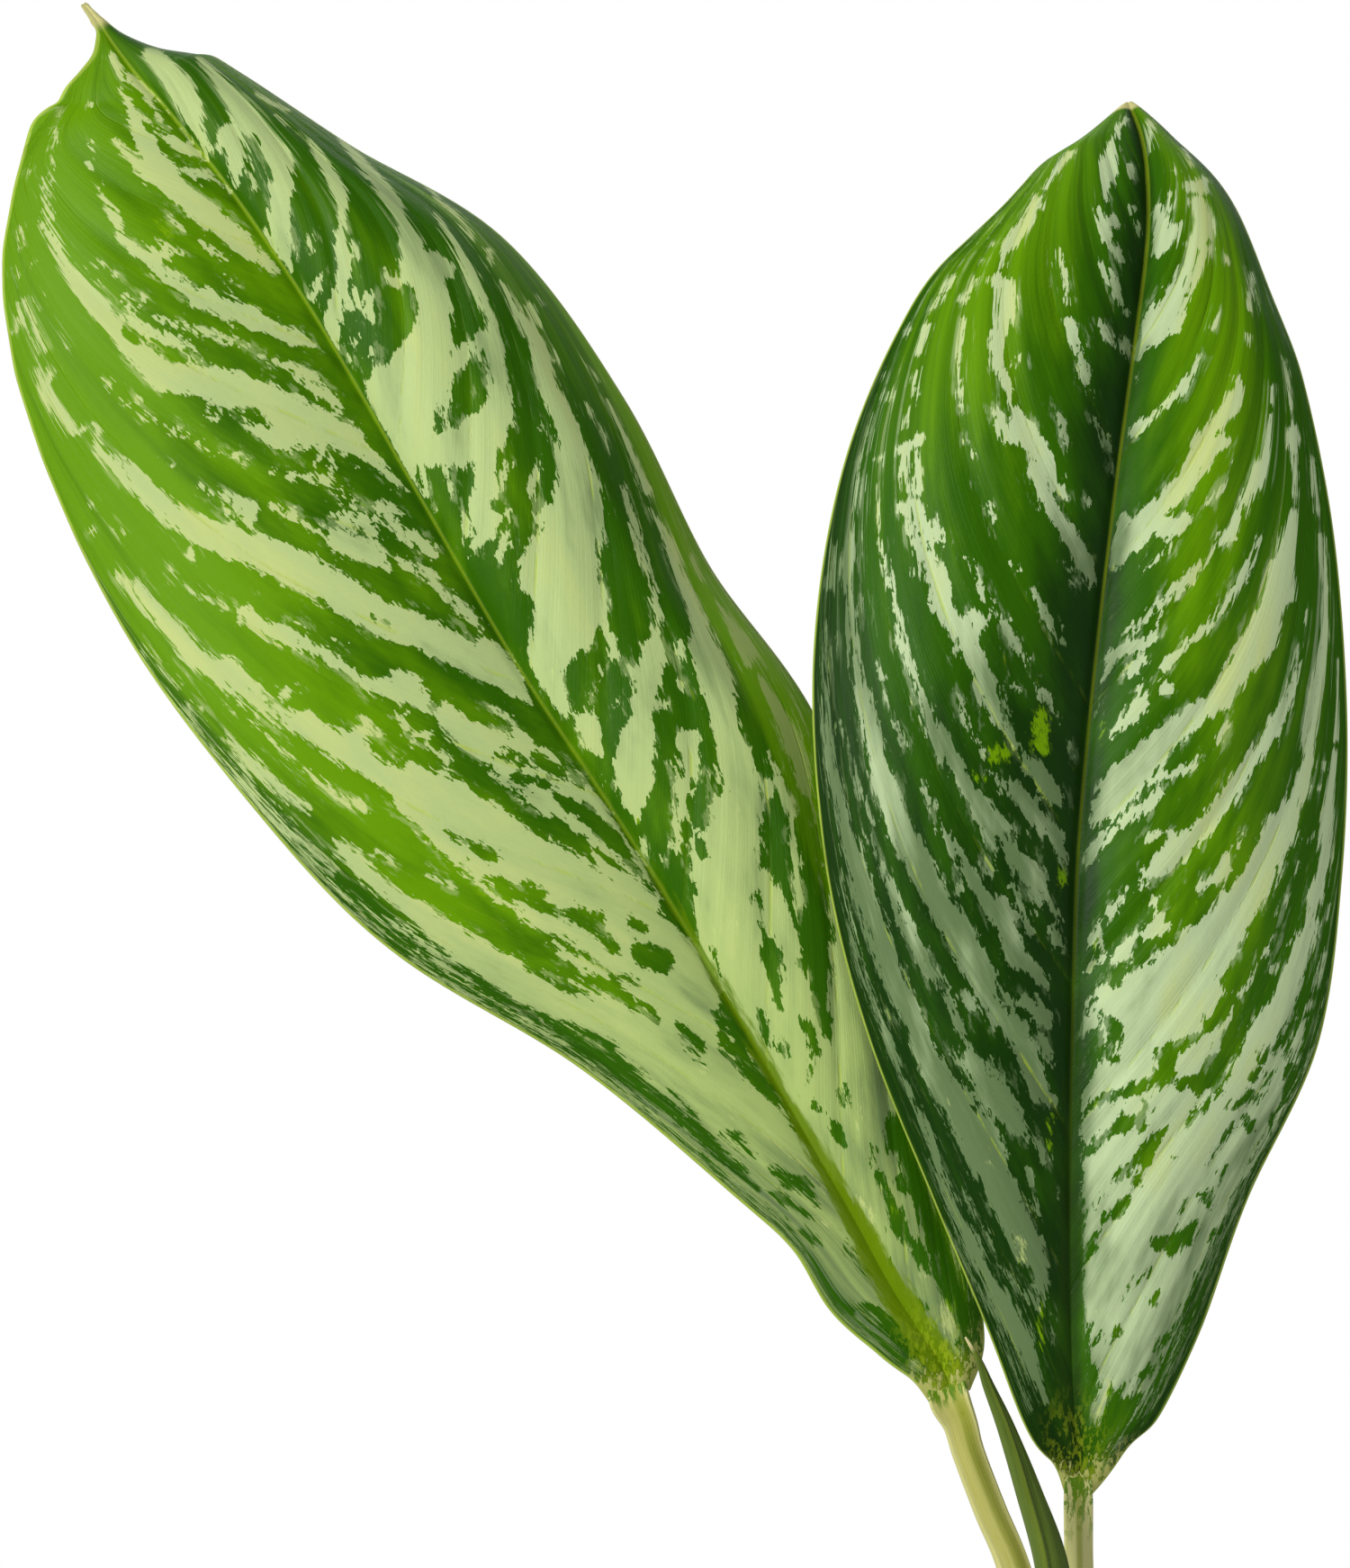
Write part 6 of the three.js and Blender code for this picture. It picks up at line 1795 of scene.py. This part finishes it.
class EVERGREEN_OT_soil(bpy.types.Operator):
    """Fills the pot with peat and strews crumbs, bark and perlite over it"""

    bl_idname = "evergreen.soil"
    bl_label = "Soil"

    def execute(self, context):
        sizes = context.scene.evergreen_soil
        pot = context.scene.evergreen_pot
        ground = soil_object("soil_bed", sizes, pot, soil_material(sizes))
        settle(ground, "soil", "soil")
        tree = scatter_tree()
        common = {"Clear radius": 8.2 * MM, "Reach": inner_radius(pot, sizes.top) - 2.2 * MM}
        crumbs = {
            "Density": sizes.crumb_density,
            "Smallest": 0.3 * MM,
            "Largest": sizes.crumb,
            "Proportions": (1, 0.85, 0.7),
            "Level": 1,
            "Tilt": 3.1416,
            "Seed": 3,
            "Material": soil_material(sizes, "peat crumbs", "shade"),
        }
        bark = {
            "Density": sizes.bark_density,
            "Smallest": 0.9 * MM,
            "Largest": 3.2 * MM,
            "Proportions": (1, 0.55, 0.22),
            "Level": 2,
            "Tilt": 0.5,
            "Seed": 11,
            "Material": bark_material(sizes),
        }
        perlite = {
            "Density": sizes.perlite_density,
            "Smallest": 0.6 * MM,
            "Largest": 1.7 * MM,
            "Proportions": (1, 0.9, 0.8),
            "Level": 2,
            "Tilt": 3.1416,
            "Seed": 29,
            "Material": perlite_material(sizes),
        }
        strewn("soil_crumbs", ground, tree, {**common, **crumbs})
        strewn("bark_chips", ground, tree, {**common, **bark})
        strewn("perlite_grains", ground, tree, {**common, **perlite})
        return {"FINISHED"}


def floor_material(sizes):
    made, nodes = new_material("pale floor")
    place = nodes.place("Object")
    soft = nodes.noise(place, 3, 3, 0.5)
    shaded = tuple(0.94 * channel for channel in sizes.floor_colour)
    colour = nodes.mix(soft * 0.25, sizes.floor_colour, shaded)
    close_material(nodes, colour, 0.75 + (soft - 0.5) * 0.1, nodes.noise(place, 220, 3, 0.6), 0.00005)
    return made


def floor_object(sizes):
    """A flat pale disc for the pot to stand on."""
    sides = 128
    rim = [(math.cos(2 * math.pi * k / sides), math.sin(2 * math.pi * k / sides)) for k in range(sides)]
    wide = sizes.floor_radius / MM
    rings = ((wide, 0), (wide * 0.999, -6))
    points = [(x * reach, y * reach, height) for reach, height in rings for x, y in rim]
    faces = [list(range(sides)), list(range(2 * sides - 1, sides - 1, -1))]
    faces += ring_faces(2, sides, flipped=True)
    made = mesh_object("floor", points, faces, [floor_material(sizes)])
    made.data.polygons.foreach_set("use_smooth", [False] * len(made.data.polygons))
    return made


def soft_light(name, place, spread, strength, colour):
    """A far light aimed at the plant, whose shadows soften over an angle of spread degrees."""
    light = bpy.data.lights.new(name, "SUN")
    light.angle = math.radians(spread)
    light.energy = strength
    light.color = colour
    made = bpy.data.objects.new(name, light)
    made.location = place
    made.rotation_mode = "QUATERNION"
    made.rotation_quaternion = (Vector(PLANT_MIDDLE) - Vector(place)).to_track_quat("-Z", "Y")
    bpy.context.scene.collection.objects.link(made)


def white_world(strength):
    """An even white sky that lights the plant softly and shows as plain white behind it."""
    world = bpy.data.worlds.new("studio")
    world.use_nodes = True
    world.node_tree.nodes.clear()
    nodes = Nodes(world.node_tree)
    soft = nodes.add("ShaderNodeBackground", {}, {"Color": (0.95, 0.97, 1.0), "Strength": strength})
    plain = nodes.add("ShaderNodeBackground", {}, {"Color": (1.0, 1.0, 1.0), "Strength": 1.0})
    seen = nodes.add("ShaderNodeLightPath", {}, {}, "Is Camera Ray")
    both = nodes.add("ShaderNodeMixShader", {}, {0: seen, 1: soft, 2: plain})
    nodes.add("ShaderNodeOutputWorld", {}, {"Surface": both})
    bpy.context.scene.world = world


class EVERGREEN_OT_stage(bpy.types.Operator):
    """Sets the camera, the pale floor and the soft studio light"""

    bl_idname = "evergreen.stage"
    bl_label = "Stage"

    def execute(self, context):
        sizes = context.scene.evergreen_stage
        floor_object(sizes)
        camera = bpy.data.cameras.new("camera")
        camera.sensor_width = 36
        camera.lens = sizes.lens
        camera.clip_start = 0.01
        camera.clip_end = 100
        seen_from = bpy.data.objects.new("camera", camera)
        seen_from.location = (CAMERA_ACROSS, -sizes.distance, CAMERA_HEIGHT)
        seen_from.rotation_euler = (math.radians(90), 0, 0)
        context.scene.collection.objects.link(seen_from)
        context.scene.camera = seen_from
        for name, (place, spread, colour) in LIGHTS.items():
            soft_light(name, place, spread, getattr(sizes, name), colour)
        white_world(sizes.sky)
        context.scene.view_settings.view_transform = "Standard"
        return {"FINISHED"}


OPERATORS = (
    EVERGREEN_OT_stage,
    EVERGREEN_OT_pot,
    EVERGREEN_OT_soil,
    EVERGREEN_OT_cane,
    EVERGREEN_OT_petioles,
    EVERGREEN_OT_blades,
    EVERGREEN_OT_furled_leaf,
)
GROUPS = {
    "evergreen_pot": PotSizes,
    "evergreen_soil": SoilSizes,
    "evergreen_cane": CaneSizes,
    "evergreen_stalk": StalkColours,
    "evergreen_leaf": LeafLooks,
    "evergreen_furled": FurledColours,
    "evergreen_stage": StageSizes,
}


class EVERGREEN_PT_sidebar(bpy.types.Panel):
    """Lists the plant's pieces and what can be changed about them"""

    bl_label = "Potted evergreen"
    bl_idname = "EVERGREEN_PT_sidebar"
    bl_space_type = "VIEW_3D"
    bl_region_type = "UI"
    bl_category = "Evergreen"

    def draw(self, context):
        for operator in OPERATORS:
            self.layout.operator(operator.bl_idname)
        for name, group in GROUPS.items():
            box = self.layout.box()
            settings = getattr(context.scene, name)
            for field in group.__annotations__:
                box.prop(settings, field)


def register():
    for kind in (*GROUPS.values(), *OPERATORS, EVERGREEN_PT_sidebar):
        bpy.utils.register_class(kind)
    for name, group in GROUPS.items():
        setattr(bpy.types.Scene, name, bpy.props.PointerProperty(type=group))


def unregister():
    for name in GROUPS:
        delattr(bpy.types.Scene, name)
    for kind in reversed((*GROUPS.values(), *OPERATORS, EVERGREEN_PT_sidebar)):
        bpy.utils.unregister_class(kind)


def main():
    register()
    for operator in OPERATORS:
        group, name = operator.bl_idname.split(".")
        getattr(getattr(bpy.ops, group), name)()


if __name__ == "__main__":
    main()
